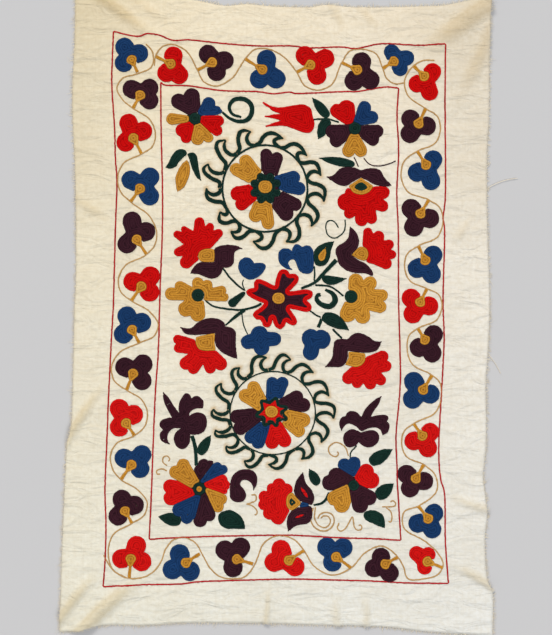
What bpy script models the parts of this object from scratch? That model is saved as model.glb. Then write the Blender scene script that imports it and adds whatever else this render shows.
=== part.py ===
"""Suzani: an embroidered cotton cloth that lies flat, with its folds and two pulled threads.

X runs across the cloth, Y along its length, Z up from the surface that it lies on.
The origin is at the middle of the cloth's underside.
"""
import math
from collections import namedtuple

import bmesh
import bpy

MM = 0.001

# Driving dimensions, in millimetres
SHEET_THICKNESS = 1.5      # the cotton with its rows of chain stitch
COLUMNS = 84               # steps of the sheet's net across the cloth
ROWS = 124                 # steps of the net along the cloth
THREAD_DIAMETER = 0.7      # a thread pulled out of the weave
THREAD_STEPS = 12
THREAD_CLEARANCE = 0.2     # between a pulled thread's end and the cut edge, at least

# The cut edges as points along each side, hand-cut and so a little uneven.
# Sides run upwards and ends run to the right, and each starts and stops at a corner.
EdgePoint = namedtuple("EdgePoint", "x y")

LEFT_SIDE = [EdgePoint(*row) for row in (
    (-259.7, -377.4), (-257.8, -313), (-255.8, -255), (-253.2, -197), (-250.6, -152),
    (-247.0, -140), (-245.2, -126), (-243.6, -75), (-241.8, 9), (-240.0, 49),
    (-240.2, 141), (-241.6, 190), (-244.4, 262), (-241.6, 333), (-240.6, 390.6),
)]
RIGHT_SIDE = [EdgePoint(*row) for row in (
    (259.6, -382.2), (259.8, -330), (253.8, -317), (251.2, -290), (250.6, -266),
    (253.2, -238), (251.6, -219), (248.6, -192), (251.4, -158), (252.4, -129),
    (251.6, -80), (254.4, -39), (256.2, 21), (254.4, 81), (253.0, 141),
    (253.4, 201), (255.4, 241), (256.6, 341), (258.0, 387.0),
)]
LOWER_END = [EdgePoint(*row) for row in (
    (-259.7, -377.4), (-235, -375.0), (-224, -371.2), (-195, -368.6), (-156, -369.4),
    (-114, -366.4), (-13, -366.8), (37, -368.4), (87, -369.4), (137, -371.6),
    (173, -376.0), (217, -379.4), (259.6, -382.2),
)]
UPPER_END = [EdgePoint(*row) for row in (
    (-240.6, 390.6), (-168, 386.0), (-99, 381.0), (-61, 374.0), (-36, 376.0),
    (-3, 373.2), (41, 372.2), (59, 375.0), (97, 372.0), (177, 373.4),
    (205, 375.2), (258.0, 387.0),
)]

# One row for each fold: a low ridge from its start to its end. Its crest bows aside by
# `bow` halfway, its flanks reach `left` and `right` of the crest, and `foot` is the
# share of its height at the start, 1 where it starts at a cut edge.
Fold = namedtuple("Fold", "x0 y0 x1 y1 bow left right height foot")

FOLDS = [Fold(*row) for row in (
    (-218, 390, -138, 328, 2, 9, 12, 4.6, 1.0),        # upper left corner
    (-172, 384, -118, 345, 0, 8, 8, 1.6, 0.6),
    (260, 380, 168, 306, -4, 20, 17, 5.0, 1.0),        # upper right corner
    (257, 345, 208, 246, 3, 15, 13, 2.8, 0.8),
    (-251, -146, -196, -70, 3, 8, 10, 4.0, 1.0),       # tuck in the left side
    (-259, -360, -206, -298, 2, 9, 9, 4.0, 1.0),       # lower left corner
    (-232, -374, -150, -308, 6, 11, 14, 6.0, 1.0),
    (-13, -369, -9, -312, -1, 5, 6, 3.2, 1.0),         # crease in the lower end
    (74, -371, 74, -322, 2, 10, 9, 2.4, 1.0),
    (108, -372, 105, -320, -2, 8, 8, 2.2, 1.0),
    (261, -325, 200, -294, -3, 8, 9, 4.0, 1.0),        # right side, low down
    (251, -229, 200, -209, 2, 9, 8, 3.0, 1.0),
    (66, 375, 84, 336, 2, 9, 8, 2.0, 0.9),             # upper end, right of the middle
    (104, 373, 128, 340, -2, 8, 9, 1.8, 0.8),
    (-242, 143, -192, 106, 2, 10, 9, 2.0, 0.8),        # left margin
    (213, 88, 243, 128, 2, 8, 8, 1.9, 0.2),            # right margin
)]

# The pulled threads lie on the surface beside the right side, each from its place
# along that side through a middle point to its end.
ThreadRoute = namedtuple("ThreadRoute", "name y0 xm ym x1 y1")

THREADS = [
    ThreadRoute("loose_thread_upper", 155.0, 271.0, 163.4, 290.0, 167.2),
    ThreadRoute("loose_thread_lower", -44.0, 263.6, -56.0, 269.6, -67.6),
]

COTTON = (0.83, 0.76, 0.62, 1.0)
LOOSE_COTTON = (0.78, 0.72, 0.58, 1.0)


def clear_scene():
    for item in list(bpy.data.objects):
        bpy.data.objects.remove(item, do_unlink=True)


def cloth_material(name, colour):
    material = bpy.data.materials.new(name)
    material.use_nodes = True
    shader = material.node_tree.nodes["Principled BSDF"]
    shader.inputs["Base Color"].default_value = colour
    shader.inputs["Roughness"].default_value = 0.9
    shader.inputs["Metallic"].default_value = 0.0
    return material


def smooth_between(points, place, along):
    """The other coordinate of a side at `place`, on a smooth curve through its points."""
    across = "y" if along == "x" else "x"
    spots = [getattr(point, along) for point in points]
    values = [getattr(point, across) for point in points]
    last = len(points) - 2
    k = next((i for i in range(last + 1) if place <= spots[i + 1]), last)
    span = spots[k + 1] - spots[k]
    t = min(max((place - spots[k]) / span, 0.0), 1.0)

    def slope(i):
        low, high = max(i - 1, 0), min(i + 1, len(points) - 1)
        return (values[high] - values[low]) / (spots[high] - spots[low])

    rise = values[k + 1] - values[k]
    start_bend = slope(k) * span - rise
    end_bend = slope(k + 1) * span - rise
    eased = values[k] + rise * t
    return eased + t * (1 - t) * ((1 - t) * start_bend - t * end_bend)


def sheet_point(u, v):
    """A point of the flat cloth, u from left to right and v from the lower end up."""
    corners = {
        (0, 0): LEFT_SIDE[0], (1, 0): RIGHT_SIDE[0],
        (0, 1): LEFT_SIDE[-1], (1, 1): RIGHT_SIDE[-1],
    }

    def side(points, t):
        y = points[0].y + (points[-1].y - points[0].y) * t
        return smooth_between(points, y, "y"), y

    def end(points, t):
        x = points[0].x + (points[-1].x - points[0].x) * t
        return x, smooth_between(points, x, "x")

    left, right = side(LEFT_SIDE, v), side(RIGHT_SIDE, v)
    low, high = end(LOWER_END, u), end(UPPER_END, u)
    point = []
    for axis in (0, 1):
        across = (1 - u) * left[axis] + u * right[axis]
        along = (1 - v) * low[axis] + v * high[axis]
        shared = sum(
            (u if i else 1 - u) * (v if j else 1 - v) * corner[axis]
            for (i, j), corner in corners.items()
        )
        point.append(across + along - shared)
    return point


def fold_height(fold, x, y):
    """How far one fold lifts the cloth at x, y: nothing past its flanks."""
    run_x, run_y = fold.x1 - fold.x0, fold.y1 - fold.y0
    length = math.hypot(run_x, run_y)
    t = ((x - fold.x0) * run_x + (y - fold.y0) * run_y) / length ** 2
    aside = ((y - fold.y0) * run_x - (x - fold.x0) * run_y) / length
    if t >= 1:
        return 0.0
    held = max(t, 0.0)
    aside -= fold.bow * 4 * held * (1 - held)
    flank = fold.left if aside > 0 else fold.right
    if abs(aside) >= flank:
        return 0.0
    swell_at = 0.3                       # where the ridge is at its highest
    if t < swell_at:
        ease = 0.5 - 0.5 * math.cos(math.pi * max(t, 0.0) / swell_at)
        share = fold.foot + (1 - fold.foot) * ease
        if t < 0 and fold.foot < 1:
            share *= max(1 + t / swell_at, 0.0)
    else:
        share = 0.5 + 0.5 * math.cos(math.pi * (t - swell_at) / (1 - swell_at))
    crest = 0.5 + 0.5 * math.cos(math.pi * aside / flank)
    return fold.height * share * crest


def cloth_height(x, y):
    """The underside's height above the surface: zero wherever the cloth lies flat."""
    heights = [fold_height(fold, x, y) for fold in FOLDS]
    return math.sqrt(sum(height ** 2 for height in heights))


def build_cloth():
    mesh = bmesh.new()
    under, over = [], []
    for j in range(ROWS + 1):
        for i in range(COLUMNS + 1):
            x, y = sheet_point(i / COLUMNS, j / ROWS)
            z = cloth_height(x, y)
            under.append(mesh.verts.new((x * MM, y * MM, z * MM)))
            over.append(mesh.verts.new((x * MM, y * MM, (z + SHEET_THICKNESS) * MM)))

    def at(i, j):
        return j * (COLUMNS + 1) + i

    def face_pair(a, b, c, d):
        """One cell's two triangles, split along its flatter diagonal, over and under."""
        tops = [over[k].co.z for k in (a, b, c, d)]
        if abs(tops[0] - tops[2]) <= abs(tops[1] - tops[3]):
            triangles = ((a, b, c), (a, c, d))
        else:
            triangles = ((a, b, d), (b, c, d))
        for triangle in triangles:
            mesh.faces.new([over[k] for k in triangle])
            mesh.faces.new([under[k] for k in reversed(triangle)])

    for j in range(ROWS):
        for i in range(COLUMNS):
            face_pair(at(i, j), at(i + 1, j), at(i + 1, j + 1), at(i, j + 1))

    rim = [at(i, 0) for i in range(COLUMNS)]
    rim += [at(COLUMNS, j) for j in range(ROWS)]
    rim += [at(i, ROWS) for i in range(COLUMNS, 0, -1)]
    rim += [at(0, j) for j in range(ROWS, 0, -1)]
    for here, there in zip(rim, rim[1:] + rim[:1]):
        mesh.faces.new((under[here], under[there], over[there], over[here]))

    return finish_mesh(mesh, "ground_cloth", COTTON)


def thread_point(route, t):
    """A point on the thread's route: a parabola through its start, middle and end."""
    x0 = smooth_between(RIGHT_SIDE, route.y0, "y") + THREAD_CLEARANCE + THREAD_DIAMETER / 2
    start, middle, stop = (1 - t) * (1 - 2 * t), 4 * t * (1 - t), t * (2 * t - 1)
    x = start * x0 + middle * route.xm + stop * route.x1
    y = start * route.y0 + middle * route.ym + stop * route.y1
    return x, y


def build_thread(route):
    """A loose thread end: a thin six-sided tube that lies on the surface."""
    mesh = bmesh.new()
    radius = THREAD_DIAMETER / 2
    sides = 6
    rings = []
    for step in range(THREAD_STEPS + 1):
        t = step / THREAD_STEPS
        x, y = thread_point(route, t)
        ahead = thread_point(route, min(t + 0.01, 1.0))
        behind = thread_point(route, max(t - 0.01, 0.0))
        run_x, run_y = ahead[0] - behind[0], ahead[1] - behind[1]
        length = math.hypot(run_x, run_y)
        ring = []
        for side in range(sides):
            angle = 2 * math.pi * (side + 0.5) / sides
            out, up = radius * math.cos(angle), radius * math.sin(angle)
            place = (x + out * run_y / length, y - out * run_x / length, radius + up)
            ring.append(mesh.verts.new([value * MM for value in place]))
        rings.append(ring)
    for ring, following in zip(rings, rings[1:]):
        for k in range(sides):
            after = (k + 1) % sides
            mesh.faces.new((ring[k], ring[after], following[after], following[k]))
    mesh.faces.new(list(reversed(rings[0])))
    mesh.faces.new(rings[-1])
    return finish_mesh(mesh, route.name, LOOSE_COTTON)


def finish_mesh(mesh, name, colour):
    bmesh.ops.recalc_face_normals(mesh, faces=mesh.faces)
    data = bpy.data.meshes.new(name)
    mesh.to_mesh(data)
    mesh.free()
    data.materials.append(cloth_material(name + "_cotton", colour))
    data.shade_smooth()
    piece = bpy.data.objects.new(name, data)
    bpy.context.scene.collection.objects.link(piece)
    return piece


def main():
    clear_scene()
    build_cloth()
    for route in THREADS:
        build_thread(route)


main()
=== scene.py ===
import math

import bpy
import numpy as np
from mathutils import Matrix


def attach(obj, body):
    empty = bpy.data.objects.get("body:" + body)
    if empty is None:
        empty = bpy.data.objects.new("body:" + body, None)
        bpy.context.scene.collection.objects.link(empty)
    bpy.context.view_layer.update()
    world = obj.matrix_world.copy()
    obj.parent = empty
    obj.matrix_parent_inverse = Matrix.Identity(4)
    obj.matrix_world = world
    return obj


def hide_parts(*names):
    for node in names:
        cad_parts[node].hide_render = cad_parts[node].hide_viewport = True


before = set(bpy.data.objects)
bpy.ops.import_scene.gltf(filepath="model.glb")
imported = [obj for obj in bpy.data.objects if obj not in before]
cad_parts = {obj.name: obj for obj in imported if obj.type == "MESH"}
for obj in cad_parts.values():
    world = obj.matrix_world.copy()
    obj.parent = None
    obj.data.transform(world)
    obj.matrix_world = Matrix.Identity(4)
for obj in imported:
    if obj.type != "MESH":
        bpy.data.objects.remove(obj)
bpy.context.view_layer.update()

mm = 0.001
rng = np.random.default_rng(29)

# The pattern is drawn on a chart: its squares run right and down from the upper left.
# Places, widths and radii in the pattern's tables are in squares of this size.
chart = dict(square=1.2, middleX=276.0, middleY=317.5)


# chart squares to millimetres on the cloth
def onCloth(points):
    points = np.atleast_2d(np.asarray(points, float))
    x = (points[:, 0] - chart["middleX"]) * chart["square"]
    y = (chart["middleY"] - points[:, 1]) * chart["square"]
    return np.column_stack([x, y])


# the ground cloth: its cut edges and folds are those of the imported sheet, in millimetres
cloth = dict(
    thick=0.55,
    stepsAcross=172,
    stepsAlong=256,
    left=[(-259.7, -377.4), (-257.8, -313), (-255.8, -255), (-253.2, -197), (-250.6, -152),
          (-247.0, -140), (-245.2, -126), (-243.6, -75), (-241.8, 9), (-240.0, 49),
          (-240.2, 141), (-241.6, 190), (-244.4, 262), (-241.6, 333), (-240.6, 390.6)],
    right=[(259.6, -382.2), (259.8, -330), (253.8, -317), (251.2, -290), (250.6, -266),
           (253.2, -238), (251.6, -219), (248.6, -192), (251.4, -158), (252.4, -129),
           (251.6, -80), (254.4, -39), (256.2, 21), (254.4, 81), (253.0, 141),
           (253.4, 201), (255.4, 241), (256.6, 341), (258.0, 387.0)],
    lower=[(-259.7, -377.4), (-235, -375.0), (-224, -371.2), (-195, -368.6), (-156, -369.4),
           (-114, -366.4), (-13, -366.8), (37, -368.4), (87, -369.4), (137, -371.6),
           (173, -376.0), (217, -379.4), (259.6, -382.2)],
    upper=[(-240.6, 390.6), (-168, 386.0), (-99, 381.0), (-61, 374.0), (-36, 376.0),
           (-3, 373.2), (41, 372.2), (59, 375.0), (97, 372.0), (177, 373.4),
           (205, 375.2), (258.0, 387.0)],
)

# a fold's crest runs from start to end and bows aside halfway; foot is its share at the start
foldColumns = ("x0", "y0", "x1", "y1", "bow", "left", "right", "height", "foot")
folds = [dict(zip(foldColumns, row)) for row in [
    (-218, 390, -138, 328, 2, 9, 12, 4.6, 1.0),
    (-172, 384, -118, 345, 0, 8, 8, 1.6, 0.6),
    (260, 380, 168, 306, -4, 20, 17, 5.0, 1.0),
    (257, 345, 208, 246, 3, 15, 13, 2.8, 0.8),
    (-251, -146, -196, -70, 3, 8, 10, 4.0, 1.0),
    (-259, -360, -206, -298, 2, 9, 9, 4.0, 1.0),
    (-232, -374, -150, -308, 6, 11, 14, 6.0, 1.0),
    (-13, -369, -9, -312, -1, 5, 6, 3.2, 1.0),
    (74, -371, 74, -322, 2, 10, 9, 2.4, 1.0),
    (108, -372, 105, -320, -2, 8, 8, 2.2, 1.0),
    (261, -325, 200, -294, -3, 8, 9, 4.0, 1.0),
    (251, -229, 200, -209, 2, 9, 8, 3.0, 1.0),
    (66, 375, 84, 336, 2, 9, 8, 2.0, 0.9),
    (104, 373, 128, 340, -2, 8, 9, 1.8, 0.8),
    (-242, 143, -192, 106, 2, 10, 9, 2.0, 0.8),
    (213, 88, 243, 128, 2, 8, 8, 1.9, 0.2),
]]

# small puckers where the stitching draws the cotton in: lean in degrees, spread in radians
pucker = dict(waves=22, height=0.7, shortest=9.0, longest=24.0, lean=35, spread=0.7, drift=3,
              driftWave=(30, 60), sharp=1.3, reachX=212.0, reachY=340.0, fade=26.0, seed=5)


# the other coordinate of a side, on a smooth curve through its points
def smoothBetween(points, place, along):
    spots = np.array([p[along] for p in points], float)
    values = np.array([p[1 - along] for p in points], float)
    low = np.maximum(np.arange(len(spots)) - 1, 0)
    high = np.minimum(np.arange(len(spots)) + 1, len(spots) - 1)
    slope = (values[high] - values[low]) / (spots[high] - spots[low])
    k = np.clip(np.searchsorted(spots, place) - 1, 0, len(spots) - 2)
    span = spots[k + 1] - spots[k]
    t = np.clip((place - spots[k]) / span, 0, 1)
    rise = values[k + 1] - values[k]
    bend = (1 - t) * (slope[k] * span - rise) - t * (slope[k + 1] * span - rise)
    return values[k] + rise * t + t * (1 - t) * bend


# points of the flat cloth, u from left to right and v from the lower end up
def sheetPoints(u, v):
    left, right, lower, upper = (cloth[side] for side in ("left", "right", "lower", "upper"))
    leftY = left[0][1] + (left[-1][1] - left[0][1]) * v
    rightY = right[0][1] + (right[-1][1] - right[0][1]) * v
    lowerX = lower[0][0] + (lower[-1][0] - lower[0][0]) * u
    upperX = upper[0][0] + (upper[-1][0] - upper[0][0]) * u
    sides = [(smoothBetween(left, leftY, 1), smoothBetween(right, rightY, 1)), (leftY, rightY)]
    ends = [(lowerX, upperX), (smoothBetween(lower, lowerX, 0), smoothBetween(upper, upperX, 0))]
    result = []
    for axis in (0, 1):
        across = (1 - u) * sides[axis][0] + u * sides[axis][1]
        along = (1 - v) * ends[axis][0] + v * ends[axis][1]
        shared = ((1 - u) * (1 - v) * left[0][axis] + u * (1 - v) * right[0][axis]
                  + (1 - u) * v * left[-1][axis] + u * v * right[-1][axis])
        result.append(across + along - shared)
    return result


def foldHeight(fold, x, y):
    runX, runY = fold["x1"] - fold["x0"], fold["y1"] - fold["y0"]
    length = math.hypot(runX, runY)
    t = ((x - fold["x0"]) * runX + (y - fold["y0"]) * runY) / length ** 2
    aside = ((y - fold["y0"]) * runX - (x - fold["x0"]) * runY) / length
    held = np.clip(t, 0, 1)
    aside = aside - fold["bow"] * 4 * held * (1 - held)
    flank = np.where(aside > 0, fold["left"], fold["right"])
    swellAt = 0.3
    rising = fold["foot"] + (1 - fold["foot"]) * (0.5 - 0.5 * np.cos(np.pi * held / swellAt))
    if fold["foot"] < 1:
        rising = np.where(t < 0, fold["foot"] * np.clip(1 + t / swellAt, 0, 1), rising)
    falling = 0.5 + 0.5 * np.cos(np.pi * (held - swellAt) / (1 - swellAt))
    share = np.where(t < swellAt, rising, falling)
    crest = 0.5 + 0.5 * np.cos(np.pi * np.minimum(np.abs(aside) / flank, 1))
    return fold["height"] * np.where(t >= 1, 0, share) * crest


# soft creases of many directions, only where the cloth is stitched
def puckerHeight(x, y):
    draw = np.random.default_rng(pucker["seed"])
    total = np.zeros_like(x)
    for _ in range(pucker["waves"]):
        wave = draw.uniform(pucker["shortest"], pucker["longest"])
        turn = draw.normal(math.radians(pucker["lean"]), pucker["spread"])
        phase = draw.uniform(0, 2 * math.pi)
        drift = (pucker["drift"] * np.sin(x / draw.uniform(*pucker["driftWave"]) + phase)
                 + pucker["drift"] * np.sin(y / draw.uniform(*pucker["driftWave"])))
        place = x * math.cos(turn) + y * math.sin(turn) + drift
        total += np.sin(2 * np.pi * place / wave + phase)
    ridges = 1 - np.abs(np.tanh(total / math.sqrt(pucker["waves"]) * pucker["sharp"]))
    insideX = np.clip((pucker["reachX"] + pucker["fade"] - np.abs(x)) / pucker["fade"], 0, 1)
    insideY = np.clip((pucker["reachY"] + pucker["fade"] - np.abs(y)) / pucker["fade"], 0, 1)
    return pucker["height"] * ridges * insideX * insideY


# the underside of the cotton above the surface, in millimetres
def clothHeight(x, y):
    x, y = np.asarray(x, float), np.asarray(y, float)
    squares = sum(foldHeight(fold, x, y) ** 2 for fold in folds)
    return np.sqrt(squares) + puckerHeight(x, y)


def placed(name, data):
    made = bpy.data.objects.new(name, data)
    bpy.context.scene.collection.objects.link(made)
    return made


# a mesh from arrays: points in millimetres, faces of four and of three corners
def meshFromArrays(name, points, quads, triangles=()):
    data = bpy.data.meshes.new(name)
    quads = np.asarray(quads, int).reshape(-1, 4)
    triangles = np.asarray(triangles, int).reshape(-1, 3)
    corners = np.concatenate([quads.ravel(), triangles.ravel()])
    starts = np.concatenate([np.arange(len(quads)) * 4,
                             len(quads) * 4 + np.arange(len(triangles)) * 3])
    data.vertices.add(len(points))
    data.vertices.foreach_set("co", (np.asarray(points, float) * mm).ravel())
    data.loops.add(len(corners))
    data.loops.foreach_set("vertex_index", corners)
    data.polygons.add(len(starts))
    data.polygons.foreach_set("loop_start", starts)
    data.polygons.foreach_set("use_smooth", np.full(len(starts), True))
    data.update(calc_edges=True)
    data.validate()
    return placed(name, data)


def setAttribute(piece, name, values, kind="FLOAT"):
    field = {"FLOAT": "value", "FLOAT_VECTOR": "vector", "FLOAT_COLOR": "color"}[kind]
    attribute = piece.data.attributes.new(name, kind, "POINT")
    attribute.data.foreach_set(field, np.asarray(values, float).ravel())


# lines and outlines, in millimetres on the cloth


# a Catmull-Rom curve through the points
def smoothLine(points, closed=False, step=0.8):
    points = np.asarray(points, float)
    count = len(points)
    if closed:
        padded = np.vstack([points[-1], points, points[0], points[1]])
    else:
        padded = np.vstack([2 * points[0] - points[1], points, 2 * points[-1] - points[-2]])
    runs = []
    for k in range(count if closed else count - 1):
        a, b, c, d = padded[k:k + 4]
        steps = max(2, int(np.linalg.norm(c - b) / step))
        t = (np.arange(steps) / steps)[:, None]
        runs.append(0.5 * (2 * b + (c - a) * t + (2 * a - 5 * b + 4 * c - d) * t ** 2
                           + (3 * b - a - 3 * c + d) * t ** 3))
    if not closed:
        runs.append(points[-1:])
    return np.vstack(runs)


# a curve through unevenly spaced points that swings rounder than smoothLine
def roundLine(points, step=2.0):
    points = np.asarray(points, float)
    padded = np.vstack([2 * points[0] - points[1], points, 2 * points[-1] - points[-2]])
    runs = []
    for k in range(len(points) - 1):
        a, b, c, d = padded[k:k + 4]
        before, here, after = np.linalg.norm(b - a), np.linalg.norm(c - b), np.linalg.norm(d - c)
        leave = here * ((b - a) / before - (c - a) / (before + here) + (c - b) / here)
        arrive = here * ((c - b) / here - (d - b) / (here + after) + (d - c) / after)
        t = np.linspace(0, 1, max(2, int(here / step)), endpoint=False)[:, None]
        runs.append(b * (2 * t ** 3 - 3 * t ** 2 + 1) + c * (3 * t ** 2 - 2 * t ** 3)
                    + leave * (t ** 3 - 2 * t ** 2 + t) + arrive * (t ** 3 - t ** 2))
    return np.vstack(runs + [points[-1:]])


# points at equal steps along a path, with count steps
def evenly(path, count, closed):
    ring = np.vstack([path, path[:1]]) if closed else path
    reach = np.concatenate([[0], np.cumsum(np.linalg.norm(np.diff(ring, axis=0), axis=1))])
    places = np.linspace(0, reach[-1], count + 1)
    if closed:
        places = places[:-1]
    return np.column_stack([np.interp(places, reach, ring[:, axis]) for axis in (0, 1)])


def lengthOf(path, closed=False):
    ring = np.vstack([path, path[:1]]) if closed else path
    return float(np.linalg.norm(np.diff(ring, axis=0), axis=1).sum())


# unit vectors to the left of the way along a path
def leftwards(path, closed):
    if closed:
        run = np.roll(path, -1, axis=0) - np.roll(path, 1, axis=0)
    else:
        run = np.gradient(path, axis=0)
    run /= np.maximum(np.linalg.norm(run, axis=1), 1e-9)[:, None]
    return np.column_stack([-run[:, 1], run[:, 0]])


# rows of chain stitch, worked with a hook, in millimetres
stitch = dict(
    length=3.5, width=3.0, height=0.95, sink=0.14, bed=0.16, wander=0.07, swell=0.05,
    crestAt=0.56, foot=1.12,            # shares of half a row's width
    shortestRow=2.2,
    stitchTone=0.5, rowTone=0.9,        # how far the dye differs from stitch to stitch, row to row
    heartLength=18.0, heartShade=1.6,   # a ring shorter than this lies in the thread's shade
    # painted shade on the bed under the rows
    bedValley=0.45,
)
stitchShape = dict(
    width=[0.80, 0.96, 1.0, 0.92],      # of each loop, from where it starts to where it is caught
    crest=[0.78, 0.97, 1.0, 0.84],
    groove=[0.70, 0.48, 0.42, 0.60],
    shade=[1.0, 0.03, 0.2, 0.03, 1.0],  # across a row: 1 is the valley between rows
    # painted shade, more where each loop is caught
    caught=0.12,
    end=dict(half=0.35, crest=0.4, groove=0.5),
)
rows = {}                               # colour: every row worked in it


def addRow(colour, path, closed=False, width=stitch["width"], lift=0.0):
    path = np.asarray(path, float)
    if len(path) >= 2 and lengthOf(path, closed) > stitch["shortestRow"]:
        rows.setdefault(colour, []).append(
            dict(path=path, closed=closed, width=width, lift=lift))


lineRows = dict(step=0.9, widest=3.4, overlap=0.35)     # a line wider than this has two rows


# a line through chart points; width in squares, or a list of widths along it
def line(colour, points, width, closed=False, lift=0.0):
    path = smoothLine(onCloth(points), closed)
    path = evenly(path, max(8, int(lengthOf(path, closed) / lineRows["step"])), closed)
    widths = width if isinstance(width, tuple) else (width, width)
    places = np.linspace(0, 1, len(widths))
    wide = np.interp(np.linspace(0, 1, len(path)), places, widths) * chart["square"]
    if wide.max() <= lineRows["widest"]:
        addRow(colour, path, closed, wide, lift)
        return
    aside = leftwards(path, closed) * (wide / 4)[:, None]
    for turn in (1, -1):
        addRow(colour, path + turn * aside, closed, wide / 2 + lineRows["overlap"], lift)


# one short row that thins out to a point
def spike(colour, root, tip, width, lift):
    middle = ((root[0] + tip[0]) / 2, (root[1] + tip[1]) / 2)
    line(colour, [root, middle, tip], (width, width * 0.85, 0.7), False, lift)


# filled shapes: each is a union of rounded limbs, discs and drawn outlines
fills = []


def limb(ax, ay, bx, by, ra, rb):
    a, b = onCloth([(ax, ay), (bx, by)])
    return dict(kind="limb", a=a, b=b, ra=ra * chart["square"], rb=rb * chart["square"])


def disc(x, y, r):
    return limb(x, y, x + 0.01, y, r, r)


def outline(*points):
    return dict(kind="outline", path=smoothLine(onCloth(points), True, 1.2), corners=[])


# runs of points, each with the next one's first point at its end
def chained(runs):
    return [run + [after[0]] for run, after in zip(runs, runs[1:] + runs[:1])]


# an outline of smooth runs, with a sharp corner where each begins
def sharpOutline(*runs):
    parts = [smoothLine(onCloth(run), False, 1.2)[:-1] for run in chained(runs)]
    corners = np.cumsum([0] + [len(part) for part in parts[:-1]])
    return dict(kind="outline", path=np.vstack(parts), corners=list(corners))


def limbField(part, x, y):
    a, b = part["a"], part["b"]
    run = b - a
    t = np.clip(((x - a[0]) * run[0] + (y - a[1]) * run[1]) / max(run @ run, 1e-9), 0, 1)
    away = np.hypot(x - a[0] - t * run[0], y - a[1] - t * run[1])
    return away - (part["ra"] + (part["rb"] - part["ra"]) * t)


# the distance from many points to the nearest of some closed outlines
def distanceTo(paths, x, y):
    best = np.full(x.shape, 1e9)
    for path in paths:
        starts, runs = path, np.roll(path, -1, axis=0) - path
        square = np.maximum((runs ** 2).sum(axis=1), 1e-12)
        for low in range(0, len(x), 4000):
            px, py = x[low:low + 4000, None], y[low:low + 4000, None]
            along = (px - starts[:, 0]) * runs[:, 0] + (py - starts[:, 1]) * runs[:, 1]
            t = np.clip(along / square, 0, 1)
            away = np.hypot(px - starts[:, 0] - t * runs[:, 0], py - starts[:, 1] - t * runs[:, 1])
            best[low:low + 4000] = np.minimum(best[low:low + 4000], away.min(axis=1))
    return best


def insideOf(path, x, y):
    inside = np.zeros(x.shape, bool)
    ends = np.roll(path, -1, axis=0)
    for (ax, ay), (bx, by) in zip(path, ends):
        if ay == by:
            continue
        crosses = ((ay > y) != (by > y)) & (x < (bx - ax) * (y - ay) / (by - ay) + ax)
        inside ^= crosses
    return inside


def partField(part, x, y):
    if part["kind"] == "limb":
        return limbField(part, x, y)
    flatX, flatY = x.ravel(), y.ravel()
    away = distanceTo([part["path"]], flatX, flatY)
    return np.where(insideOf(part["path"], flatX, flatY), -away, away).reshape(x.shape)


# below zero inside the shape; limbs melt a little into each other
def shapeField(shape, x, y):
    field = partField(shape["parts"][0], x, y)
    melt = shape["melt"]
    for part in shape["parts"][1:]:
        other = partField(part, x, y)
        near = np.clip(0.5 + 0.5 * (other - field) / melt, 0, 1)
        field = other + (field - other) * near - melt * near * (1 - near)
    return field


def partBox(part):
    if part["kind"] == "limb":
        reach = max(part["ra"], part["rb"])
        ends = np.array([part["a"], part["b"]])
        return np.array([ends.min(axis=0) - reach, ends.max(axis=0) + reach])
    return np.array([part["path"].min(axis=0), part["path"].max(axis=0)])


# A shape filled with rows that follow its outline inwards; edge is its outer rows' colour.
# It cuts the shapes before it, unless it is worked over them.
def fill(colour, *parts, edge=None, edgeRows=1, melt=0.35, gap=0.3, worked=True, over=False):
    boxes = np.array([partBox(part) for part in parts])
    box = np.array([boxes[:, 0].min(axis=0) - 2, boxes[:, 1].max(axis=0) + 2])
    fills.append(dict(colour=colour, parts=parts, edge=edge, edgeRows=edgeRows,
                      melt=melt, gap=gap, box=box, worked=worked, over=over))


# a filled shape inside runs that meet at sharp corners
def pointed(colour, *runs, **more):
    fill(colour, sharpOutline(*runs), **more)


# colour laid under a flower's heart, so that no cotton shows between its petals
def underlay(colour, x, y, r):
    fill(colour, disc(x, y, r), gap=0.0, worked=False)


# petals that part from one base; the base and each tip give x, y and radius
def lobed(colour, base, *tips):
    x, y, r = base
    fill(colour, *[limb(x, y, tipX, tipY, r, tipR) for tipX, tipY, tipR in tips])


# a leaf's outline: share of its length, and of half its width
leafSides = ((0.06, 0.5), (0.24, 0.93), (0.45, 1.0), (0.68, 0.76), (0.87, 0.32))


# a leaf with two bowed sides and a sharp tip; bend moves its middle to the left
def leaf(base, tip, width, bend=0.0):
    (x0, y0), (x1, y1) = base, tip
    length = math.hypot(x1 - x0, y1 - y0)
    leftX, leftY = (y1 - y0) / length, -(x1 - x0) / length
    sides = {}
    for turn in (1, -1):
        sides[turn] = []
        for share, full in leafSides:
            aside = turn * width / 2 * full + bend * 4 * share * (1 - share)
            sides[turn].append((x0 + (x1 - x0) * share + leftX * aside,
                                y0 + (y1 - y0) * share + leftY * aside))
    pointed("green", [tip] + sides[-1][::-1] + sides[1])


# the row out to a sharp corner: its widest opening in degrees, then millimetres
tipRow = dict(opening=105, arm=3, probe=2, clear=1, inset=1.3, more=1.2, shortest=2.6, longest=8,
              bend=0.55, end=0.2, widths=(2.6, 2.1, 0.8))


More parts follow.
